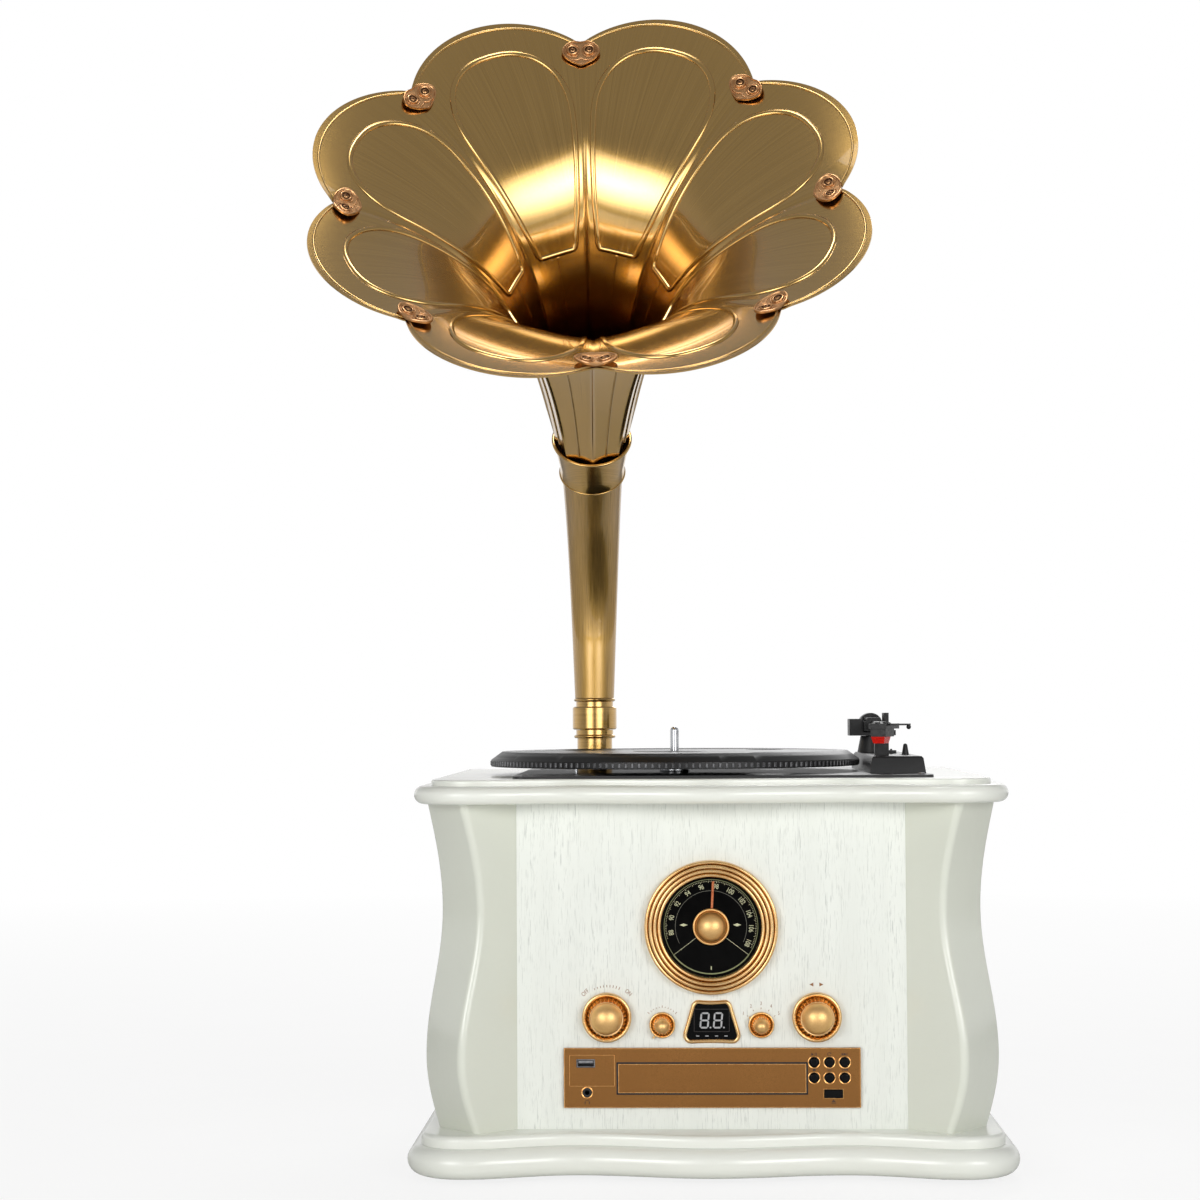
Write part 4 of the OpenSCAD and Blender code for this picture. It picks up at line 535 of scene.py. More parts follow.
# Record player's deck. A pressed steel plate under satin black powder coat, held by four
# screws; the belt drive's motor, pulley and rubber belt stand on it under the platter.
deck_black = Finish("deck_black", (18, 18, 19), 0.36, coat=0.15).worn(0.36, 0.52, 420)
deck_black.clouded((15, 15, 16), 60, 0.35, 0.65, detail=4).pitted(0.00004, 1600)
copied_node("deck_plate", deck_black, "cabinet", "deck_black", 0.0004)
bright_steel = Finish("bright_steel", (205, 207, 210), 0.12, metallic=1)
bright_steel.worn(0.08, 0.2, 1, (30, 30, 1800)).clouded((188, 190, 194), 70)
copied_node("platter_spindle", bright_steel, "cabinet", "steel_bright", 0.0002)
copied_node("motor_pulley", bright_steel, "pulley", "steel_bright", 0.0001)
copied_node("drive_motor", screw_zinc, "cabinet", "steel_plain", 0.0005)
belt_rubber = Finish("belt_rubber", (26, 26, 26), 0.6).clouded((38, 37, 36), 300, 0.4, 0.6)
belt_rubber.pitted(0.00005, 1200)
copied_node("drive_belt", belt_rubber, "cabinet", "rubber_black")

# Platter. Cast aluminium with four round holes, turned and finished satin black; a band of
# strobe teeth is milled round its rim.
platter_black = Finish("platter_black", (18, 18, 19), 0.36, coat=0.1, coat_roughness=0.16,
                       specular=0.32)
platter_black.worn(0.34, 0.46, 1, (6, 6, 900)).clouded((15, 15, 16), 40, 0.35, 0.65, detail=4)
copied_node("platter", platter_black, "platter", "platter_black", 0.0006)
platter_x = -27
platter_y = 145
platter_r = 148
teeth = 182
tooth_h = 0.6
band_low = 305.4
band_high = 309.4
tooth_steps = ((0, 0), (0.08, 0), (0.2, 1), (0.48, 1), (0.6, 0), (0.8, 0))


def on_band(u, v):
    """Round the rim in steps, out over the teeth and just under the rim's face between them"""
    count = len(tooth_steps)
    step = round(u * count * teeth) % (count * teeth)
    place, raised = tooth_steps[step % count]
    out, z = (
        (-1, band_low), (0, band_low), (tooth_h, band_low + 0.5), (tooth_h, band_high - 0.5),
        (0, band_high), (-1, band_high), (-1, band_low),
    )[round(v * 6)]
    r = platter_r + (out if raised or out < 0 else -0.2)
    a = 2 * pi * (step // count + place) / teeth
    return Vector((platter_x + r * cos(a), platter_y + r * sin(a), z))


# The teeth get a lighter grey than the black platter: painted highlight where their rounded faces
# catch the light.
teeth_grey_painted_highlight = Finish("teeth_grey_painted_highlight", (92, 92, 94), 0.3, metallic=0.5).worn(0.22, 0.4, 900)
teeth_grey_painted_highlight.clouded((68, 68, 70), 500, 0.35, 0.65)
band = shaped_sheet("platter_teeth", len(tooth_steps) * teeth, 6, on_band, merged=True)
band.data.transform(cabinet)
finished(band, teeth_grey_painted_highlight, "platter", "platter_black")

# Tonearm. Moulded parts in satin black: base block with arm rest and cue lever, turning yoke,
# straight tube with a turned headshell, counterweight, cartridge and a clear red stylus.
arm_black = Finish("arm_black", (16, 16, 17), 0.34, specular=0.35).worn(0.3, 0.48, 700)
arm_black.clouded((22, 22, 23), 90, 0.35, 0.65, detail=4).pitted(0.00003, 2200)
for name, body, edge in (
    ("tonearm_base", "cabinet", 0.0008), ("tonearm_yoke", "arm_yoke", 0.0009),
    ("tonearm", "arm", 0.0007), ("cartridge", "arm", 0.0003), ("counterweight", "arm", 0.0012),
    ("cue_lever", "cue_lever", 0.0003), ("speed_switch", "speed_switch", 0.0003),
):
    copied_node(name, arm_black, body, "arm_black", edge)
clear_red_painted_glow = Finish("clear_red_painted_glow", (225, 42, 30), 0.12, coat=0.5)
clear_red_painted_glow.hold("Transmission Weight", 0.25)
# A faint red emission: painted glow, as if light shone through the stylus.
clear_red_painted_glow.hold("Emission Color", screen(225, 30, 20))
clear_red_painted_glow.hold("Emission Strength", 0.12)
clear_red_painted_glow.clouded((205, 30, 24), 500, 0.4, 0.6)
copied_node("stylus", clear_red_painted_glow, "arm", "red_stylus", 0.0002)

# Horn's foot. A brass tube is clamped in the top board and flanged over it; on it turns the
# swivel ring that carries the elbow. Both are turned with beads and polished along the lathe.
horn_x = -97
horn_y = 310
horn_turn = radians(1.35)
in_cabinet = Matrix.Translation((horn_x, horn_y, 0)) @ Matrix.Rotation(horn_turn, 4, "Z")
gold = (204, 164, 92)
gold_dark = (172, 134, 66)


def brass(name, source="UV", brush=(500, 5, 1), turn=0.5, roughness=(0.16, 0.26)):
    """Brushed antique gold: fine lines and a highlight drawn out across the brushing"""
    made = Finish(name, gold, 0.22, metallic=1, coat=0.7, source=source)
    made.hold("Coat IOR", 1.7)
    fine = made.noise(1, brush, detail=4, roughness=0.6)
    made.tint(fine, 0.3, 0.62, gold_dark)
    made.roughen(fine, 0.3, 0.7, *roughness)
    made.emboss(fine, 0.000012)
    if turn:
        made.hold("Anisotropic", turn)
        tangent = made.node("Tangent", direction_type="UV_MAP")
        made.link(tangent.outputs[0], made.shader.inputs["Tangent"])
    return made


lathe_gold = brass("lathe_gold", "Object", (18, 18, 2600), turn=0, roughness=(0.14, 0.24))
copied_node("horn_socket", lathe_gold, "cabinet", "horn_brass", 0.0002)
copied_node("horn_swivel", lathe_gold, "horn", "horn_brass", 0.0002)

# Elbow. A tapered brass tube, drawn over a mandrel and bent, soldered onto the swivel ring.
elbow_low = 360
elbow_rise = 46
elbow_bend = radians(50)
elbow_bend_r = 155
elbow_run = 50
elbow_r0 = 17
elbow_r1 = 25.8
tube_wall = 1.2
elbow_l = elbow_rise + elbow_bend_r * elbow_bend + elbow_run


def on_elbow(u, v):
    s = elbow_l * v
    a = min(max((s - elbow_rise) / elbow_bend_r, 0), elbow_bend)
    rest = max(0, s - elbow_rise - elbow_bend_r * elbow_bend)
    high = elbow_low + min(s, elbow_rise) + elbow_bend_r * sin(a) + rest * cos(a)
    middle = Vector((0, -elbow_bend_r * (1 - cos(a)) - rest * sin(a), high))
    r = elbow_r0 + (elbow_r1 - elbow_r0) * v
    b = 2 * pi * u
    return middle + Vector((r * cos(b), r * sin(b) * cos(a), r * sin(b) * sin(a)))


satin_gold = brass("satin_gold", brush=(160, 6, 1), turn=0.3, roughness=(0.36, 0.48))
elbow = shaped_sheet("elbow_tube", 96, 90, on_elbow, merged=True)
elbow.data.transform(cabinet @ in_cabinet)
apply(elbow, "SOLIDIFY", thickness=tube_wall / 1000, offset=-1)
smooth(elbow)
finished(elbow, satin_gold, "horn", "horn_brass", "horn_elbow")


# Collar. A turned brass cup with a rolled lip, seated over the elbow's end; the petals' narrow
# ends are soldered inside it.
def turned(name, section, steps=96, place=Matrix(), smoothing=32):
    """A section of radius and height pairs, extruded point by point and spun about its own Z"""
    bpy.ops.object.select_all(action="DESELECT")
    bpy.ops.mesh.primitive_plane_add(size=1)
    piece = bpy.context.object
    piece.name = name
    bpy.ops.object.mode_set(mode="EDIT")
    bpy.ops.mesh.merge(type="CENTER")
    bpy.ops.transform.translate(value=(section[0][0], 0, section[0][1]))
    for (r0, z0), (r1, z1) in zip(section, section[1:]):
        step = (r1 - r0, 0, z1 - z0)
        bpy.ops.mesh.extrude_region_move(TRANSFORM_OT_translate={"value": step})
    bpy.ops.mesh.select_all(action="SELECT")
    bpy.ops.mesh.spin(steps=steps, angle=2 * pi, center=(0, 0, 0), axis=(0, 0, 1))
    bpy.ops.object.mode_set(mode="OBJECT")
    tidy(piece)
    piece.data.transform(cabinet @ place)
    smooth(piece, smoothing)
    return piece


def arc(r, z, radius, start, end, steps=8):
    """Points on an arc of a section, its angles in degrees from outwards towards up"""
    return [
        (r + radius * cos(radians(a)), z + radius * sin(radians(a)))
        for a in (start + (end - start) * i / steps for i in range(steps + 1))
    ]


collar_y = -93.67
collar_z = 556.88
tilt = Matrix.Rotation(elbow_bend, 4, "X")
collar_place = in_cabinet @ Matrix.Translation((0, collar_y, collar_z)) @ tilt
collar_section = (
    [(25.9, -12), (27.0, -12)] + arc(27.1, -10.6, 0.9, -90, 90)
    + [(27.0, -9.4), (27.1, 0), (31.4, 26.2)] + arc(32.0, 27.6, 1.4, -100, 150, 14)
    + [(30.9, 27.4), (25.9, 0.2), (25.9, -12)]
)
collar = turned("horn_collar_dressed", collar_section, 128, collar_place)
finished(collar, lathe_gold, "horn", "horn_brass", "horn_collar")

# Petals. Eight sheets of brushed brass, flared to a round tip and pressed with a raised bead in
# the outline of a paddle over a narrow rib, their edges folded outwards where they meet.
bell_y = -115.885
bell_z = 575.517
bell_l = 256
throat_r = 30.6
bell_r = 193
bell_tip_r = 221
bell_tip_out = 10
bell_growth = 1.2
bell_power = 3.5
bell_flare = log(bell_r / throat_r) - bell_growth
tip_arc = radians(60.0574)
petals = 8
half_petal = pi / petals
sheet_t = 1
bell_turn = radians(2)
petal_late = 3
fold_h = 0.9
petal_start = -0.0234
petal_end = 0.9996
bell_place = (
    in_cabinet @ Matrix.Translation((0, bell_y, bell_z)) @ tilt @ Matrix.Rotation(bell_turn, 4, "Z")
)


def petal_spot(u, t):
    """Point on a petal's outer face, u from seam to seam as -1 to 1 and t from throat to rim"""
    r = throat_r * exp(bell_growth * t + bell_flare * max(t, 0) ** bell_power)
    w = max(0, (r - throat_r) / (bell_r - throat_r)) ** petal_late
    c = (cos(tip_arc * u) - cos(tip_arc)) / (1 - cos(tip_arc))
    side = r * sin(half_petal * 0.9992) * sin(tip_arc * u) / sin(tip_arc)
    out = r * cos(half_petal) + (bell_tip_r - bell_r * cos(half_petal)) * w * c
    return Vector((out, side, bell_l * t + bell_tip_out * w * c))


def petal_normal(u, t):
    """Direction square to a petal's face, away from the horn's axis"""
    d = 0.004
    across = petal_spot(u + d, t) - petal_spot(u - d, t)
    along = petal_spot(u, t + d) - petal_spot(u, t - d)
    return across.cross(along).normalized()


def bead(name, path, width, height, closed=False):
    """A half round strip along a path of points and normals, sunk a little into its sheet"""
    count = len(path)

    def spot(u, v):
        i = round(v * count) % count if closed else round(v * (count - 1))
        at, normal = path[i]
        ahead = path[(i + 1) % count][0] if closed or i + 1 < count else at
        behind = path[i - 1][0] if closed or i else at
        side = (ahead - behind).cross(normal).normalized()
        a = 2 * pi * u
        rise = sin(a) * (height if sin(a) > 0 else 0.3)
        return at + side * (width / 2 * cos(a)) + normal * rise

    piece = shaped_sheet(name, 14, count if closed else count - 1, spot)
    tidy(piece, close=not closed)
    return piece


def joined(pieces, name):
    choose(pieces[0])
    for piece in pieces:
        piece.select_set(True)
    bpy.ops.object.join()
    bpy.context.object.name = name
    return bpy.context.object


def both_faces(name, route, width, height, closed=False):
    """The same bead on a petal's outer face and on its inner face"""
    outer = [(petal_spot(u, t), petal_normal(u, t)) for u, t in route]
    inner = [(at - normal * sheet_t, -normal) for at, normal in outer]
    return [bead(name, outer, width, height, closed), bead(name, inner, width, height, closed)]


def paddle_half(t):
    return 0.8 - 0.17 * ((paddle_shoulder - t) / 0.23) ** 2


paddle_foot = 0.585
paddle_ankle = 0.615
paddle_shoulder = 0.88
paddle_top = 0.092
paddle_corner = 0.13
sides_route = [paddle_ankle + (paddle_shoulder - paddle_ankle) * i / 36 for i in range(37)]
paddle_route = [(-paddle_half(t), t) for t in sides_route]
for i in range(1, 48):
    a = pi * i / 48
    u = 0.8 * abs(cos(a)) ** 0.7 * (-1 if i < 24 else 1)
    paddle_route.append((u, paddle_shoulder + paddle_top * sin(a) ** 0.8))
paddle_route += [(paddle_half(t), t) for t in reversed(sides_route)]
corner_u = paddle_half(paddle_ankle) - paddle_corner
corner_t = paddle_ankle - paddle_foot
paddle_route += [
    (corner_u + paddle_corner * cos(pi / 2 * i / 8), paddle_ankle - corner_t * sin(pi / 2 * i / 8))
    for i in range(1, 9)
]
paddle_route += [(corner_u * (1 - 2 * i / 24), paddle_foot) for i in range(1, 24)]
paddle_route += [
    (-corner_u - paddle_corner * sin(pi / 2 * i / 8), paddle_ankle - corner_t * cos(pi / 2 * i / 8))
    for i in range(0, 8)
]
rib_route = [(0, 0.02 + (paddle_foot - 0.03) * i / 40) for i in range(41)]
rim_route = [(-0.995 + 1.99 * i / 80, 0.995) for i in range(81)]
petal_gold = brass("petal_gold", brush=(330, 4, 1), roughness=(0.15, 0.24))
# The inner faces are the same brushed brass, painted darker brown towards the throat: painted shade
# for the deep bell.
bell_gold_painted_shade = brass("bell_gold_painted_shade", brush=(330, 4, 1), roughness=(0.13, 0.22))
bell_axis = ((cabinet @ bell_place).to_3x3() @ Vector((0, 0, 1))).normalized()
bell_start = bell_axis.dot((cabinet @ bell_place).translation)
spot = bell_gold_painted_shade.node("TexCoord").outputs["Object"]
deep = bell_gold_painted_shade.node("VectorMath", spot, bell_axis, operation="DOT_PRODUCT")
bell_gold_painted_shade.tint(deep.outputs["Value"], bell_start + 0.055, bell_start + 0.18, (112, 74, 18))
for k in range(petals):

    def on_petal(u, v):
        t = petal_start + (petal_end - petal_start) * v
        across = 2 * u - 1
        fold = fold_h * exp(-((1 - abs(across)) * 14 * (0.35 + t)) ** 2)
        fold *= min(1, 8 * max(0, t - 0.02))
        return petal_spot(across, t) + petal_normal(across, t) * fold

    sheet = shaped_sheet(f"petal_{k + 1}", 72, 110, on_petal)
    apply(sheet, "SOLIDIFY", thickness=sheet_t, offset=-1)
    parts = [sheet]
    parts += both_faces("paddle_bead", paddle_route, 4.6, 1.5, closed=True)
    parts += both_faces("centre_rib", rib_route, 1.9, 0.9)
    parts += both_faces("rolled_rim", rim_route, 1.9, 0.8)
    for part in parts:
        coated(part, petal_gold, bell_gold_painted_shade)
        for face in part.data.polygons:
            outward = face.normal.x * face.center.x + face.normal.y * face.center.y
            face.material_index = int(outward < 0 if part is sheet else parts.index(part) % 2 == 0)
    petal = joined(parts, f"petal_{k + 1}")
    petal.data.transform(cabinet @ bell_place @ Matrix.Rotation(half_petal * (2 * k + 1), 4, "Z"))
    smooth(petal, 40)
    finished(petal, None, "horn", "horn_brass", "horn_petals")

# Clips. Eight pressed copper coloured plates at the rim, each riveted twice over a seam from
# the inside, with a raised border, a dip towards the rim and a point towards the throat.
clip_gold = Finish("clip_gold", (204, 156, 108), 0.3, metallic=1, coat=0.2).worn(0.28, 0.38, 500)
clip_gold.clouded((184, 136, 90), 60, 0.3, 0.7)
# Dark brown for each rivet's groove and the middle of its dome: painted shade.
rivet_painted_shade = Finish("rivet_painted_shade", (96, 62, 38), 0.4, metallic=0.9).worn(0.34, 0.5, 900)
rivet_painted_shade.clouded((78, 50, 30), 400)
clip_w = 31
clip_h = 22
clip_t = 1.5
rim_slope = atan(bell_r * (bell_growth + bell_flare * bell_power) / bell_l)
clip_back = clip_h / 2 - 1.5
clip_lift = sheet_t + 0.25
clip_r = bell_r - clip_back * sin(rim_slope) - clip_lift * cos(rim_slope)
clip_z = bell_l - clip_back * cos(rim_slope) + clip_lift * sin(rim_slope)
clip_fold = tan(half_petal) / tan(rim_slope) * sin(rim_slope)
rivet_at = (clip_w - clip_h) / 2 + 2.2
clip_profile = (
    (0, 0), (0.985, 0), (1, 0.25), (1, clip_t), (0.985, clip_t + 0.55), (0.95, clip_t + 0.75),
    (0.91, clip_t + 0.7), (0.885, clip_t + 0.3), (0.86, clip_t), (0.45, clip_t), (0, clip_t),
)


clip_dip = 0.10
lip_x = -6.6
curl_x = 5.9
curl_y = 5.6


def on_clip(u, v):
    """Plate of the clip: round ends, a dip at the rim side and a point at the throat side"""
    a = 2 * pi * u
    dip = clip_dip * exp(-((sin(a) / 0.28) ** 2)) * (1 if cos(a) > 0 else -1.1)
    x = clip_h / 2 * cos(a) * (1 - dip)
    y = clip_w / 2 * sin(a) * (1 - 0.05 * sin(2 * a) ** 2)
    fraction, z = clip_profile[round(v * (len(clip_profile) - 1))]
    return Vector((x * fraction, y * fraction, z + abs(y * fraction) * clip_fold))


rivet_section = (
    (4.6, 0), (4.6, 0.8), (4.3, 1.25), (3.8, 1.4), (3.3, 1.2), (3.05, 0.6), (2.1, 0.6), (2.0, 1.1),
    (1.6, 1.5), (0.8, 1.7), (0, 1.75), (0, 0), (4.6, 0),
)
for k in range(petals):
    plate = shaped_sheet("clip_plate", 72, len(clip_profile) - 1, on_clip, merged=True)
    parts = [plate]
    for s in (1, -1):
        rivet = turned("rivet", rivet_section, 32)
        rivet.data.transform(cabinet.inverted())
        rivet_place = Matrix.Translation((1, s * rivet_at, clip_t + rivet_at * clip_fold - 0.15))
        rivet.data.transform(rivet_place @ Matrix.Rotation(s * atan(clip_fold), 4, "X"))
        coated(rivet, clip_gold, rivet_painted_shade)
        spots = [vertex.co for vertex in rivet.data.vertices]
        middle = sum(spots, Vector()) / len(spots)
        # The groove and the dome's middle take the dark brown: painted shade.
        for face in rivet.data.polygons:
            off = (face.center - middle).to_2d().length
            face.material_index = int(2.0 < off < 3.2 or off < 1.2)
        parts.append(rivet)
        ring = [
            (1 + curl_x * cos(pi * i / 16), rivet_at + curl_y * sin(pi * i / 16)) for i in range(32)
        ]
        lip = [
            (lip_x - sin(pi * i / 15) + 0.8 * exp(-(i / 2) ** 2), 10.5 * i / 15) for i in range(16)
        ]
        for name, spots in (("curl", ring), ("lip", lip)):
            path = [
                (Vector((x, s * y, clip_t + y * clip_fold)), Vector((0, 0, 1))) for x, y in spots
            ]
            parts.append(bead(name, path, 0.9, 0.5, closed=name == "curl"))
            coated(parts[-1], clip_gold)
    coated(plate, clip_gold)
    clip = joined(parts, f"clip_{k + 1}")
    seat = Matrix.Translation((clip_r, 0, clip_z)) @ Matrix.Rotation(rim_slope - pi / 2, 4, "Y")
    clip.data.transform(cabinet @ bell_place @ Matrix.Rotation(2 * half_petal * k, 4, "Z") @ seat)
    smooth(clip, 35)
    finished(clip, None, "horn", "clip_copper", "petal_clips")


# Dial. A turned, polished rose gold bezel of four ribs round a black printed scale, with a
# copper needle on its shaft and a domed satin cap that hides the shaft's end.
def front(x, z, y=0):
    """Place on the front panel with its own Z out of the panel and its Y up"""
    return Matrix.Translation((x, y, z)) @ Matrix.Rotation(pi / 2, 4, "X")


def plate(name, outline, thick, place, low=0.0):
    """A flat plate of this outline, for printed marks and thin trim"""
    return moulded(name, outline, ((0, low), (0, low + thick)), place)


ink = 0.06


def inked(place, *outlines, thick=ink):
    """Printed marks as thin plates of these outlines"""
    return [plate("mark", outline, thick, place) for outline in outlines]


def oblong(x0, x1, y0, y1, radius=0.0):
    corners = ((x0, y0), (x1, y0), (x1, y1), (x0, y1))
    if not radius:
        return [Vector(corner) for corner in corners]
    return rounded([(*corner, radius) for corner in corners], 4)


def spun(outline, angle, out=0.0):
    """An outline moved out along Y and turned clockwise by an angle in degrees"""
    turn = Matrix.Rotation(-radians(angle), 2)
    return [turn @ (spot + Vector((0, out))) for spot in outline]


def lettered(text, size, place, angle=0.0, out=0.0):
    """A number or a word of a switch as a thin flat mesh, centred"""
    bpy.ops.object.select_all(action="DESELECT")
    bpy.ops.object.text_add()
    piece = bpy.context.object
    piece.data.body = text
    piece.data.size = size
    piece.data.align_x = piece.data.align_y = "CENTER"
    piece.data.extrude = 0.03
    bpy.ops.object.convert(target="MESH")
    piece = bpy.context.object
    piece.name = "figure"
    narrow = Matrix.Diagonal((0.78, 1, 1, 1))
    turn = Matrix.Rotation(-radians(angle), 4, "Z") @ Matrix.Translation((0, out, 0.03))
    piece.data.transform(cabinet @ place @ turn @ narrow)
    return piece


rose_gold = Finish("rose_gold", (236, 196, 138), 0.2, metallic=1, coat=0.4).worn(0.17, 0.28, 1300)
rose_gold.clouded((222, 176, 116), 60, 0.35, 0.62, detail=4)
satin_rose = Finish("satin_rose", (240, 198, 136), 0.4, metallic=1).worn(0.38, 0.5, 2600)
satin_rose.clouded((228, 182, 118), 1800, 0.35, 0.65).pitted(0.000015, 3000)
dial_z = 186.5
face_r = 37.5
bezel_r = 50.25
bezel_out = 9
dial_skirt = 4
rib_pitch = (bezel_r - face_r) / 4
rib_r = 1.36
rib_tops = [bezel_out * (0.62 + 0.38 * sin(pi * (i + 0.6) / 4)) for i in range(4)]
bezel_section = [
    (face_r, -dial_skirt), (face_r + 3, -dial_skirt), (face_r + 3, 0), (bezel_r, 0), (bezel_r, 2.4),
]
for i, top in enumerate(rib_tops):
    rib_at = bezel_r - rib_pitch * (i + 0.5)
    bezel_section += arc(rib_at, top - rib_r, rib_r, 0, 180, 10)
    deep = min(rib_tops[i], rib_tops[min(i + 1, 3)]) - 2.5
    bezel_section.append((rib_at - rib_pitch / 2, deep if i < 3 else 3.2))
bezel_section[-1] = (face_r, 3.6)
bezel = turned("dial_bezel_ribs", bezel_section + [(face_r, -dial_skirt)], 160, front(0, dial_z))
finished(bezel, rose_gold, "cabinet", "rose_gold", "dial_bezel")
print_black = Finish("print_black", (8, 8, 8), 0.12, specular=0.05).worn(0.08, 0.16, 600)
print_black.clouded((5, 5, 5), 120)
copied_node("dial_face", print_black, "cabinet", "dial_print")
cream_ink = Finish("cream_ink", (204, 206, 170), 0.5).clouded((188, 190, 152), 900)
green_ink = Finish("green_ink", (138, 146, 104), 0.45).clouded((118, 128, 88), 900)
dim_ink = Finish("dim_ink", (104, 104, 92), 0.5).clouded((84, 84, 74), 900)
print_place = front(0, dial_z, dial_skirt)


def ring_marks(name, r0, r1, start, end, steps):
    """A thin printed arc, its angles clockwise from the top"""

    def spot(u, v):
        r, z = ((r0, 0), (r1, 0), (r1, ink), (r0, ink), (r0, 0))[round(v * 4)]
        a = radians(start + (end - start) * u)
        return Vector((r * sin(a), r * cos(a), z))

    piece = shaped_sheet(name, steps, 4, spot)
    tidy(piece, close=True)
    piece.data.transform(cabinet @ print_place)
    return piece


def scale_angle(megahertz):
    return 7.6 + 10.62 * (megahertz - 98)


number_r = 30.1
number_h = 5.2
tick_r = 34.3
first_mark = 87.6
mark_step = 0.2
sector = 127
cream_marks = [
    lettered(str(f), number_h, print_place, scale_angle(f), number_r) for f in range(88, 109, 2)
]
for i in range(-1, 105):
    f = first_mark + mark_step * i
    reach = 1.5 if abs(f - round(f)) < 0.01 else 0.75
    tick = oblong(-0.16, 0.16, tick_r - reach, tick_r)
    cream_marks += inked(print_place, spun(tick, scale_angle(f)))
lozenge = (
    (-3.1, 0), (-0.9, -0.8), (0, -1.2), (0.9, -0.8), (3.1, 0), (0.9, 0.8), (0, 1.2), (-0.9, 0.8),
)
for x in (-20.6, 19.6):
    cream_marks += inked(print_place, [Vector((x + dx, 1.2 + dy)) for dx, dy in lozenge])
for a in (-sector, sector):
    cream_marks += inked(print_place, spun(oblong(-0.14, 0.14, 14.4, 35.0), a))
cream_marks += inked(print_place, oblong(-0.35, 0.35, -32.4, -29.8))
olive_marks = [
    ring_marks("olive_ring", 35.0, 35.45, -sector, sector, 160),
    ring_marks("olive_foot", 34.9, 35.8, sector, 360 - sector, 70),
]
for piece, finish in (
    (joined(cream_marks, "dial_figures"), cream_ink),
    (joined(olive_marks, "dial_rings"), green_ink),
    (ring_marks("dial_arc", 26.7, 27.0, -118, 116, 120), dim_ink),
):
    finished(piece, finish, "cabinet", "dial_print")
copper = Finish("needle_copper", (206, 124, 84), 0.3, metallic=0.9).worn(0.24, 0.38, 1200)
copper.clouded((184, 102, 66), 500)
copied_node("dial_needle", copper, "needle", "rose_gold", 0.0001)
cap_r = 13.75
cap_back = dial_skirt - 1.2
cap_dome = cap_r - 2.0
cap_section = (
    [(0, 0), (cap_r, 0)] + arc(cap_r - 0.9, 2.6, 0.9, 0, 130, 8)
    + [(cap_r - 1.7, 2.8), (cap_r - 1.9, 2.2)]
    + [
        (cap_dome * cos(a), 2.6 + (7.4 + cap_back) * sin(a))
        for a in (radians(degree) for degree in range(6, 91, 6))
    ]
)
cap = turned("dial_cap_dome", cap_section, 96, front(0, dial_z, cap_back))
finished(cap, satin_rose, "needle", "rose_gold", "dial_cap")
copied_node("tuning_belt", belt_rubber, "cabinet", "rubber_black")

# Knobs. Turned rose gold: a polished ring with a dish in it, a fluted grip that tapers
# outwards, a thin ring and a satin dome, on a steel shaft that runs into its control.
panel_t = 12
pot_h = 9
shaft_r = 3


def rod(name, r, z0, z1, place):
    return turned(name, [(0, z0), (r, z0), (r, z1), (0, z1)], 32, place)


def knob(name, base_d, dome_d, reach, flutes, place, extras=()):
    """A knob on a shaft, from its diameters at the foot and at the dome"""
    base = base_d / 2
    dome = dome_d / 2
    lip = base * 0.075
    dish = reach * 0.26
    foot = base * 0.84
    neck = dome + 0.9 * dome / 11.5
    high = reach * 0.62
    rows = [(0, 0.4, 0), (base - 1, 0.4, 0), (base, 1.4, 0), (base, dish, 0)]
    rows += [(r, z, 0) for r, z in arc(base - lip, dish, lip, 15, 165, 7)]
    rows += [
        (base - 2.2 * lip, dish - 0.3 * lip, 0), (foot + 0.3, dish * 0.72, 0),
        (foot, dish * 0.78, 0),
    ]
    rows += [
        (foot + (neck - foot) * i / 6, dish * 0.8 + (high - dish * 0.8) * i / 6, min(1, i, 6 - i))
        for i in range(1, 6)
    ]
    rows += [
        (neck, high, 0), (neck + 0.15, high + 0.5, 0), (neck, high + 1.0, 0),
        (dome + 0.1, high + 0.9, 0), (dome, high + 0.4, 0),
    ]
    top = high + 0.8
    for a in (radians(degree) for degree in range(6, 91, 7)):
        rows.append((dome * cos(a), top + (reach - top) * sin(a), 0))
    rows[-1] = (0, reach, 0)
    columns = flutes * 8

    def spot(u, v):
        r, z, fluted = rows[round(v * (len(rows) - 1))]
        step = round(u * columns) % columns
        a = 2 * pi * step / columns
        r -= fluted * base * 0.055 * (1 + cos(2 * pi * (step % 8) / 8)) / 2
        return Vector((r * cos(a), r * sin(a), z))

    head = shaped_sheet(name, columns, len(rows) - 1, spot, merged=True)
    coated(head, rose_gold, satin_rose)
    for face in head.data.polygons:
        face.material_index = int(face.center.z > top and face.center.to_2d().length < dome)
    head.data.transform(cabinet @ place)
    works = [rod("shaft", shaft_r, 1 - panel_t - pot_h, 0.41, place), *extras]
    for part in works:
        coated(part, rose_gold)
    piece = joined([head, *works], name + "_turned")
    smooth(piece, 30)
    finished(piece, None, name, "rose_gold", name)


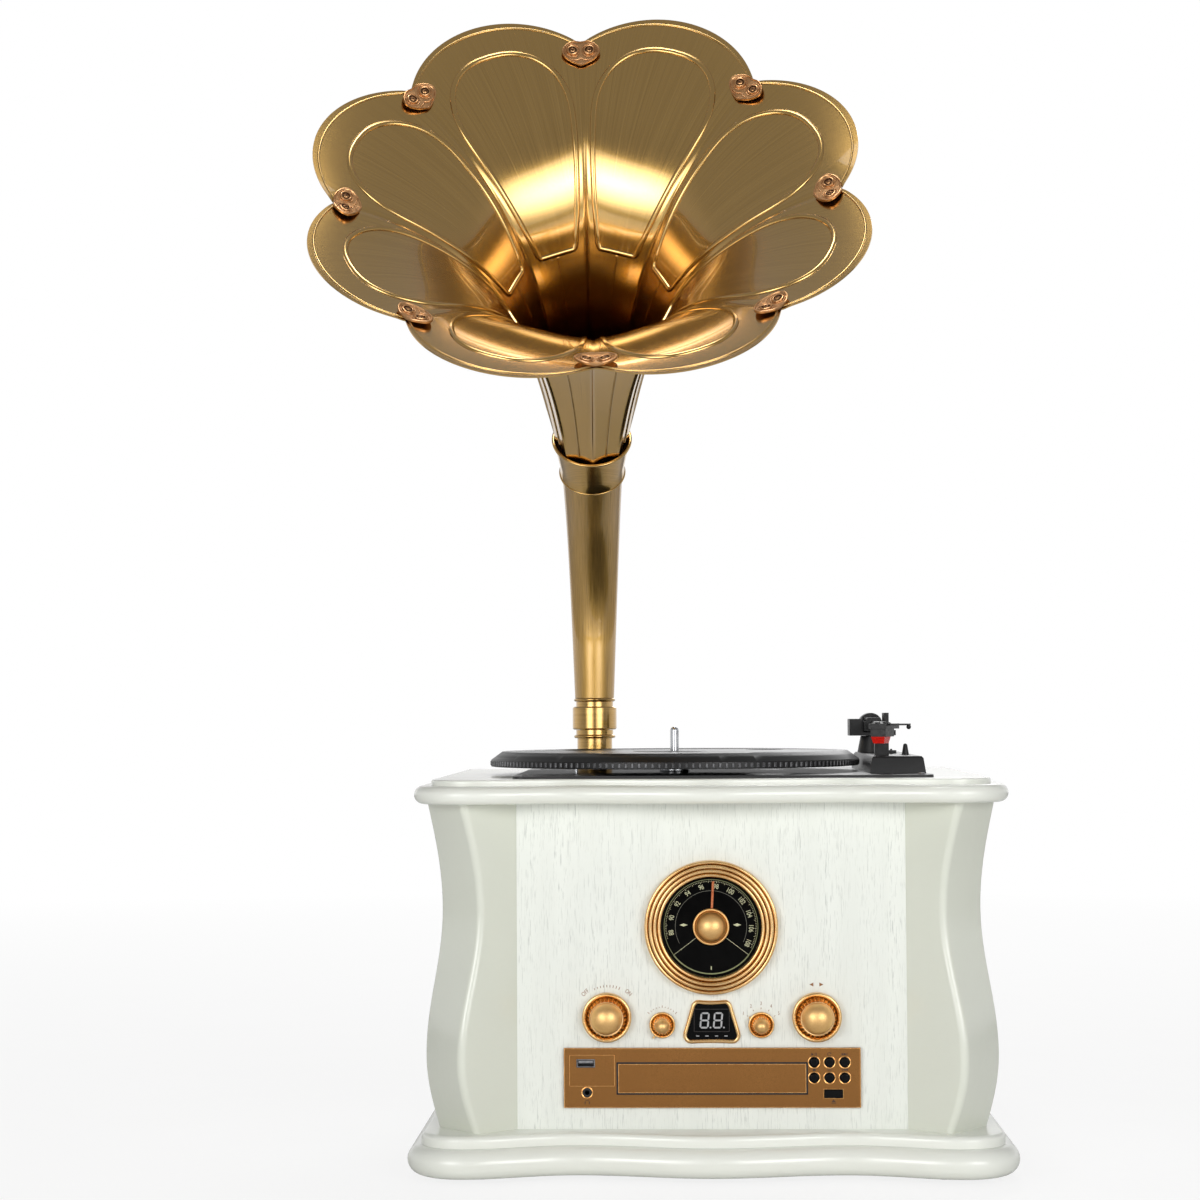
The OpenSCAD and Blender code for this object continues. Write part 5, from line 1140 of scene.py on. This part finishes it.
big_x = 78.5
big_z = 119.6
small_x = 37
small_z = 113.7
volume_place = front(-big_x, big_z)
tuning_place = front(big_x, big_z)
tone_place = front(-small_x, small_z)
source_place = front(small_x, small_z)
groove_r = 5
pulley_section = [
    (r, z - panel_t - 7) for r, z in (
        (0, -2.5), (groove_r + 2, -2.5), (groove_r + 2, -1.3), (groove_r, -1.3),
        (groove_r, 1.3), (groove_r + 2, 1.3), (groove_r + 2, 2.5), (0, 2.5),
    )
]
big_knob = (37, 23, 25, 28)
small_knob = (19.5, 10.5, 17, 22)
knob("volume_knob", *big_knob, volume_place)
knob("tuning_knob", *big_knob, tuning_place, (
    turned("pulley", pulley_section, 48, tuning_place),
    rod("long_shaft", shaft_r, -27.8, -4, tuning_place),
))
for name, place, angle, out in (
    ("tone_knob", tone_place, 145, 2.5), ("source_knob", source_place, 58, 1.0),
):
    tab = spun(oblong(-0.75, 0.75, 5.3, 9.75 + out, 0.5), -angle)
    knob(name, *small_knob, place, (plate("pointer", tab, 2.2, place, 0.6),))

# Marks at the knobs. Fine ticks, plain numbers and a switch's words, printed on the panel.
bronze_ink = Finish("bronze_ink", (152, 104, 62), 0.4, metallic=0.1).clouded((130, 86, 50), 900)
word_r = 24.2
word_h = 4.4
tick_in = 12.6
knob_marks = [
    lettered("OFF", word_h, volume_place, -42, word_r),
    lettered("ON", word_h, volume_place, 42, word_r),
]
for i in range(9):
    tick = oblong(-0.22, 0.22, 22.0, 23.2 + 0.14 * i)
    knob_marks += inked(volume_place, spun(tick, -24 + 6 * i))
for i in range(11):
    tick = oblong(-0.2, 0.2, tick_in, tick_in + (1.8 if i % 5 == 0 else 0.9))
    knob_marks += inked(tone_place, spun(tick, -50 + 10 * i))
for i in range(5):
    angle = -58 + 29 * i
    knob_marks += inked(source_place, spun(oblong(-0.2, 0.2, 11.4, tick_in), angle))
    number_place = Matrix.Rotation(-radians(angle), 4, "Z") @ Matrix.Translation((0, 15.6, 0))
    knob_marks.append(lettered(str(i + 1), 3.6, source_place @ number_place, -angle))
for s in (1, -1):
    arrow = [Vector((s * x, 23.8 + y)) for x, y in ((5.2, 0), (2.2, 1.5), (2.2, -1.5))]
    knob_marks += inked(tuning_place, arrow[::s])
finished(joined(knob_marks, "knob_marks"), bronze_ink, "cabinet", "white_grain")

# Display. A rose gold frame with bowed sides round a black window that shows grey figures.
display_z = 116
display_w = 43
display_top_w = 31
display_h = 33


def display_outline(steps=12):
    """Round cornered trapezium with a dipped top, anticlockwise"""
    corner = 6.5
    low, high, y = (size / 2 - corner for size in (display_w, display_top_w, display_h))
    lean = atan2(low - high, 2 * y)
    right = []
    for x, z, start, end in ((low, -y, -pi / 2, lean), (high, y, lean, pi / 2)):
        for a in (start + (end - start) * i / 8 for i in range(9)):
            right.append(Vector((x + corner * cos(a), z + corner * sin(a))))
    outline = right + [Vector((-spot.x, spot.y)) for spot in reversed(right)]
    bowed = []
    for spot, ahead in zip(outline, outline[1:] + outline[:1]):
        count = steps if (ahead - spot).length > 6 else 1
        bowed += [spot.lerp(ahead, i / count) for i in range(count)]
    for spot in bowed:
        reach, dip = (high + 3, 0.9) if spot.y > 0 else (low + 3, 0.7)
        spot.y -= dip * max(0, 1 - (spot.x / reach) ** 2) * spot.y / (y + corner)
    return bowed


frame_edge = (
    (3, 0), (0, 0), (0, 1.5), (0.25, 2.2), (0.8, 2.75), (1.5, 3.0), (2.2, 2.85), (2.7, 2.4),
    (3, 1.8), (3, 0),
)
display_place = front(0, display_z)
display_frame = moulded("display_frame", display_outline(), frame_edge, display_place, close=False)
smooth(display_frame, 35)
finished(display_frame, rose_gold, "cabinet", "rose_gold", "display_bezel")
glass_black = Finish("glass_black", (7, 7, 8), 0.06, specular=0.08).clouded((7, 7, 8), 90)
glass_black.worn(0.05, 0.12, 220)
copied_node("display_window", glass_black, "cabinet", "black_gloss")
window_place = front(0, display_z, -1.6)
brown_glass = Finish("brown_glass", (38, 30, 28), 0.2).clouded((30, 24, 23), 400)
inner = moulded(
    "display_inner", oblong(-13.4, 13.4, -7.6, 9.6, 0.6),
    ((0, 0), (0, 0.06), (0.5, 0.06), (0.5, 0), (0, 0)), window_place, close=False,
)
finished(inner, brown_glass, "cabinet", "black_gloss")
segment_grey = Finish("segment_grey", (164, 164, 166), 0.4).clouded((140, 140, 142), 800)
segment_grey.hold("Emission Color", screen(150, 150, 152))
segment_grey.hold("Emission Strength", 0.25)
segment_w = 1.25
segment_slant = 0.09
digit_w = 5.6
digit_h = 10.8


def segment(x0, y0, x1, y1):
    """One bar of a figure with pointed ends, between two points"""
    start, end = Vector((x0, y0)), Vector((x1, y1))
    run = (end - start).normalized()
    side = Vector((-run.y, run.x)) * (segment_w / 2)
    a, b = start + run * 0.2, end - run * 0.2
    tip = run * (segment_w / 2)
    points = [a, a + tip - side, b - tip - side, b, b - tip + side, a + tip + side]
    return [Vector((p.x + segment_slant * p.y, p.y)) for p in points]


figure_parts = []
low, high = 1 - digit_h / 2, 1 + digit_h / 2
for x in (-5.4, 4.6):
    left, right = x - digit_w / 2, x + digit_w / 2
    bars = (
        (left, low, right, low), (left, 1, right, 1), (left, high, right, high),
        (left, low, left, 1), (left, 1, left, high),
        (right, low, right, 1), (right, 1, right, high),
    )
    dot = oblong(right + 1.1, right + 2.2, low - 0.4, low + 0.6)
    figure_parts += inked(window_place, *(segment(*bar) for bar in bars), dot, thick=0.1)
for x in (-10.6, -3.6, 3.6, 10.6):
    figure_parts += inked(window_place, oblong(x - 1.2, x + 1.2, -10.9, -10.3))
finished(joined(figure_parts, "display_figures"), segment_grey, "cabinet", "black_gloss")

# Disc drive's fascia and door. Moulded plastic under satin bronze paint with a fine metal
# sparkle; narrow bright bevels edge the fascia, the door and the panel of the socket.
bronze = Finish("satin_bronze", (146, 100, 50), 0.42, metallic=0.75)
sparkle = bronze.noise(2600, detail=2)
bronze.tint(sparkle, 0.32, 0.55, (120, 80, 38))
bronze.roughen(sparkle, 0.3, 0.7, 0.5, 0.3)
bronze.clouded((136, 92, 45), 30, 0.3, 0.65, detail=4)
bronze.emboss(sparkle, 0.00003)
copied_node("cd_fascia", bronze, "cabinet", "bronze_plastic", 0.0003)
copied_node("cd_door", bronze, "tray", "bronze_plastic", 0.0003)
bright_bronze = Finish("bright_bronze", (236, 180, 112), 0.22, metallic=0.9).worn(0.18, 0.3, 900)
bright_bronze.clouded((214, 152, 88), 300)
fascia_w = 221.8
fascia_h = 44.4
fascia_z = 74.4
fascia_t = 3
door_w = 140.4
door_h = 21.6
door_at = 74


def edging(name, outline, width, thick, place, low=0.0):
    """A narrow raised strip just inside a closed outline"""
    profile = (
        (width, low), (0, low), (0, low + thick * 0.6), (width * 0.35, low + thick),
        (width * 0.7, low + thick), (width, low + thick * 0.5), (width, low),
    )
    return moulded(name, outline, profile, place, close=False)


def centred(width, height, radius):
    return oblong(-width / 2, width / 2, -height / 2, height / 2, radius)


fascia_place = front(0, fascia_z, -fascia_t)
usb_panel = oblong(-106.8, -72.8, -6.2, 17.2, 0.8)
edges = [
    edging("edge", centred(fascia_w, fascia_h, 0.5), 0.75, 0.25, fascia_place, -0.2),
    edging("edge", usb_panel, 0.4, 0.14, fascia_place, -0.02),
]
finished(joined(edges, "fascia_edges"), bright_bronze, "cabinet", "bronze_plastic")
# A thin black strip lies in the gap round the door: painted shade for the dark gap, not a real
# seal.
gap_shade_black = Finish("gap_shade_black", (10, 9, 8), 0.6).clouded((6, 5, 5), 600)
gap = 1.35
gap_shade_profile = ((1.3, -0.02), (0, -0.02), (0, 0.05), (1.3, 0.05), (1.3, -0.02))
door_gap_outline = centred(door_w + 2 * gap, door_h + 2 * gap, 0.5)
door_gap_shade = moulded("door_gap_shade", door_gap_outline, gap_shade_profile, front(0, door_at, -fascia_t), close=False)
finished(door_gap_shade, gap_shade_black, "cabinet", "bronze_plastic")
door_place = front(0, door_at, -fascia_t - 0.4)
door_edge = edging("door_edge", centred(door_w, door_h, 0.4), 0.8, 0.3, door_place, -0.55)
finished(door_edge, bright_bronze, "tray", "bronze_plastic")
copied_node("cd_tray", arm_black, "tray", "tray_black", 0.0003)

# Buttons. Six round ones and one oblong, moulded in gloss black, each in a bright ring, with
# plain playing symbols printed beside them in dark brown.
gloss_black = Finish("gloss_black", (8, 8, 9), 0.1, specular=0.14).worn(0.08, 0.16, 800)
gloss_black.clouded((11, 11, 12), 200)
button_x = 87.6
button_z = fascia_z
button_pitch = 11.4
button_rise = 11.5
open_x = 90.5
open_z = 62.6
jack_x = -93.5
button_places = {}
for i, name in enumerate(("play", "repeat", "next", "stop", "program", "back")):
    copied_node(name + "_button", gloss_black, name + "_button", "black_gloss", 0.00025)
    x = button_x + (i % 3 - 1) * button_pitch
    button_places[name] = (x, button_z + (button_rise if i < 3 else 0))
copied_node("open_button", gloss_black, "open_button", "black_gloss", 0.0003)
ring_section = [(3.95, 0), (4.75, 0), (4.65, 0.2), (4.35, 0.32), (4.0, 0.2), (3.95, 0)]
rings = [
    turned("button_ring", ring_section, 48, front(x, z, -fascia_t + 0.02))
    for x, z in button_places.values()
]
open_rim = oblong(open_x - 7.6, open_x + 7.6, -3.75, 3.75, 0.8)
rings.append(edging("open_ring", open_rim, 0.55, 0.25, front(0, open_z, -fascia_t)))
jack_section = [(3.6, 0), (4.5, 0), (4.4, 0.25), (4.0, 0.35), (3.6, 0.2), (3.6, 0)]
rings.append(turned("jack_ring", jack_section, 48, front(jack_x, 63.5, -fascia_t)))
finished(joined(rings, "button_rings"), bright_bronze, "cabinet", "bronze_plastic")
brown_ink = Finish("brown_ink", (62, 36, 18), 0.5).clouded((48, 28, 14), 900)


def wedge(x, size, s=1):
    """Triangle that points along X, or back along it where s is -1"""
    half = s * size * 0.45
    points = [(x - half, -size / 2), (x + half, 0), (x - half, size / 2)]
    return [Vector(p) for p in points[::s]]


strip_w = 0.4


def arc_strip(r, start, end, steps=14):
    """Flat strip on an arc, its angles anticlockwise from X"""
    angles = [radians(start + (end - start) * i / steps) for i in range(steps + 1)]
    outer = [Vector((cos(a), sin(a))) * (r + strip_w / 2) for a in angles]
    return outer + [Vector((cos(a), sin(a))) * (r - strip_w / 2) for a in reversed(angles)]


signs = {
    "play": [wedge(-1.1, 2.2), oblong(0.5, 0.95, -1.1, 1.1), oblong(1.45, 1.9, -1.1, 1.1)],
    "repeat": [arc_strip(1.3, 30, 330), [p + Vector((1.15, 0.75)) for p in wedge(0, 1.3)]],
    "next": [wedge(-1.3, 2.2), wedge(0.5, 2.2), oblong(1.5, 1.95, -1.1, 1.1)],
    "stop": [oblong(-1.05, 1.05, -1.05, 1.05)],
    "program": [oblong(-1.6, 1.6, y - 0.2, y + 0.2) for y in (-0.9, 0, 0.9)],
    "back": [wedge(1.3, 2.2, -1), wedge(-0.5, 2.2, -1), oblong(-1.95, -1.5, -1.1, 1.1)],
}
marks = []
for name, (x, z) in button_places.items():
    marks += inked(front(x, z + 6.0, -fascia_t), *signs[name], thick=0.05)
eject = [Vector((-1.7, 0)), Vector((1.7, 0)), Vector((0, 1.9))]
eject_place = front(open_x, open_z - 6.2, -fascia_t)
marks += inked(eject_place, eject, oblong(-1.7, 1.7, -1.0, -0.5), thick=0.05)
ear_pads = oblong(-1.95, -1.2, -1.3, 0.1), oblong(1.2, 1.95, -1.3, 0.1)
marks += inked(front(jack_x, 56.3, -fascia_t), arc_strip(1.6, 0, 180), *ear_pads, thick=0.05)
finished(joined(marks, "button_signs"), brown_ink, "cabinet", "bronze_plastic")

# Sockets and works. A steel USB socket and black phone, line and mains sockets; behind the
# panels lie the drive's case, controls, boards, transformer, speakers and the horn's driver.
copied_node("usb_socket", screw_zinc, "cabinet", "steel_plain", 0.0001)
socket_black = Finish("socket_black", (28, 28, 29), 0.4).worn(0.32, 0.5, 700)
socket_black.clouded((20, 20, 21), 120)
for name in ("headphone_jack", "rear_sockets", "speakers", "horn_driver"):
    copied_node(name, socket_black, "cabinet", "speaker_black", 0.0003)
sheet_zinc = Finish("sheet_zinc", (176, 180, 184), 0.38, metallic=0.9).worn(0.3, 0.5, 60, detail=4)
sheet_zinc.clouded((158, 162, 168), 90, detail=4)
for name in ("cd_drive", "control_pots", "tuning_capacitor", "transformer"):
    copied_node(name, sheet_zinc, "cabinet", "steel_plain", 0.0002)
board_green = Finish("board_green", (36, 104, 62), 0.35)
board_green.clouded((28, 84, 50), 260, 0.42, 0.5, detail=2).worn(0.28, 0.45, 500)
for name in ("control_board", "main_board"):
    copied_node(name, board_green, "cabinet", "circuit_green")
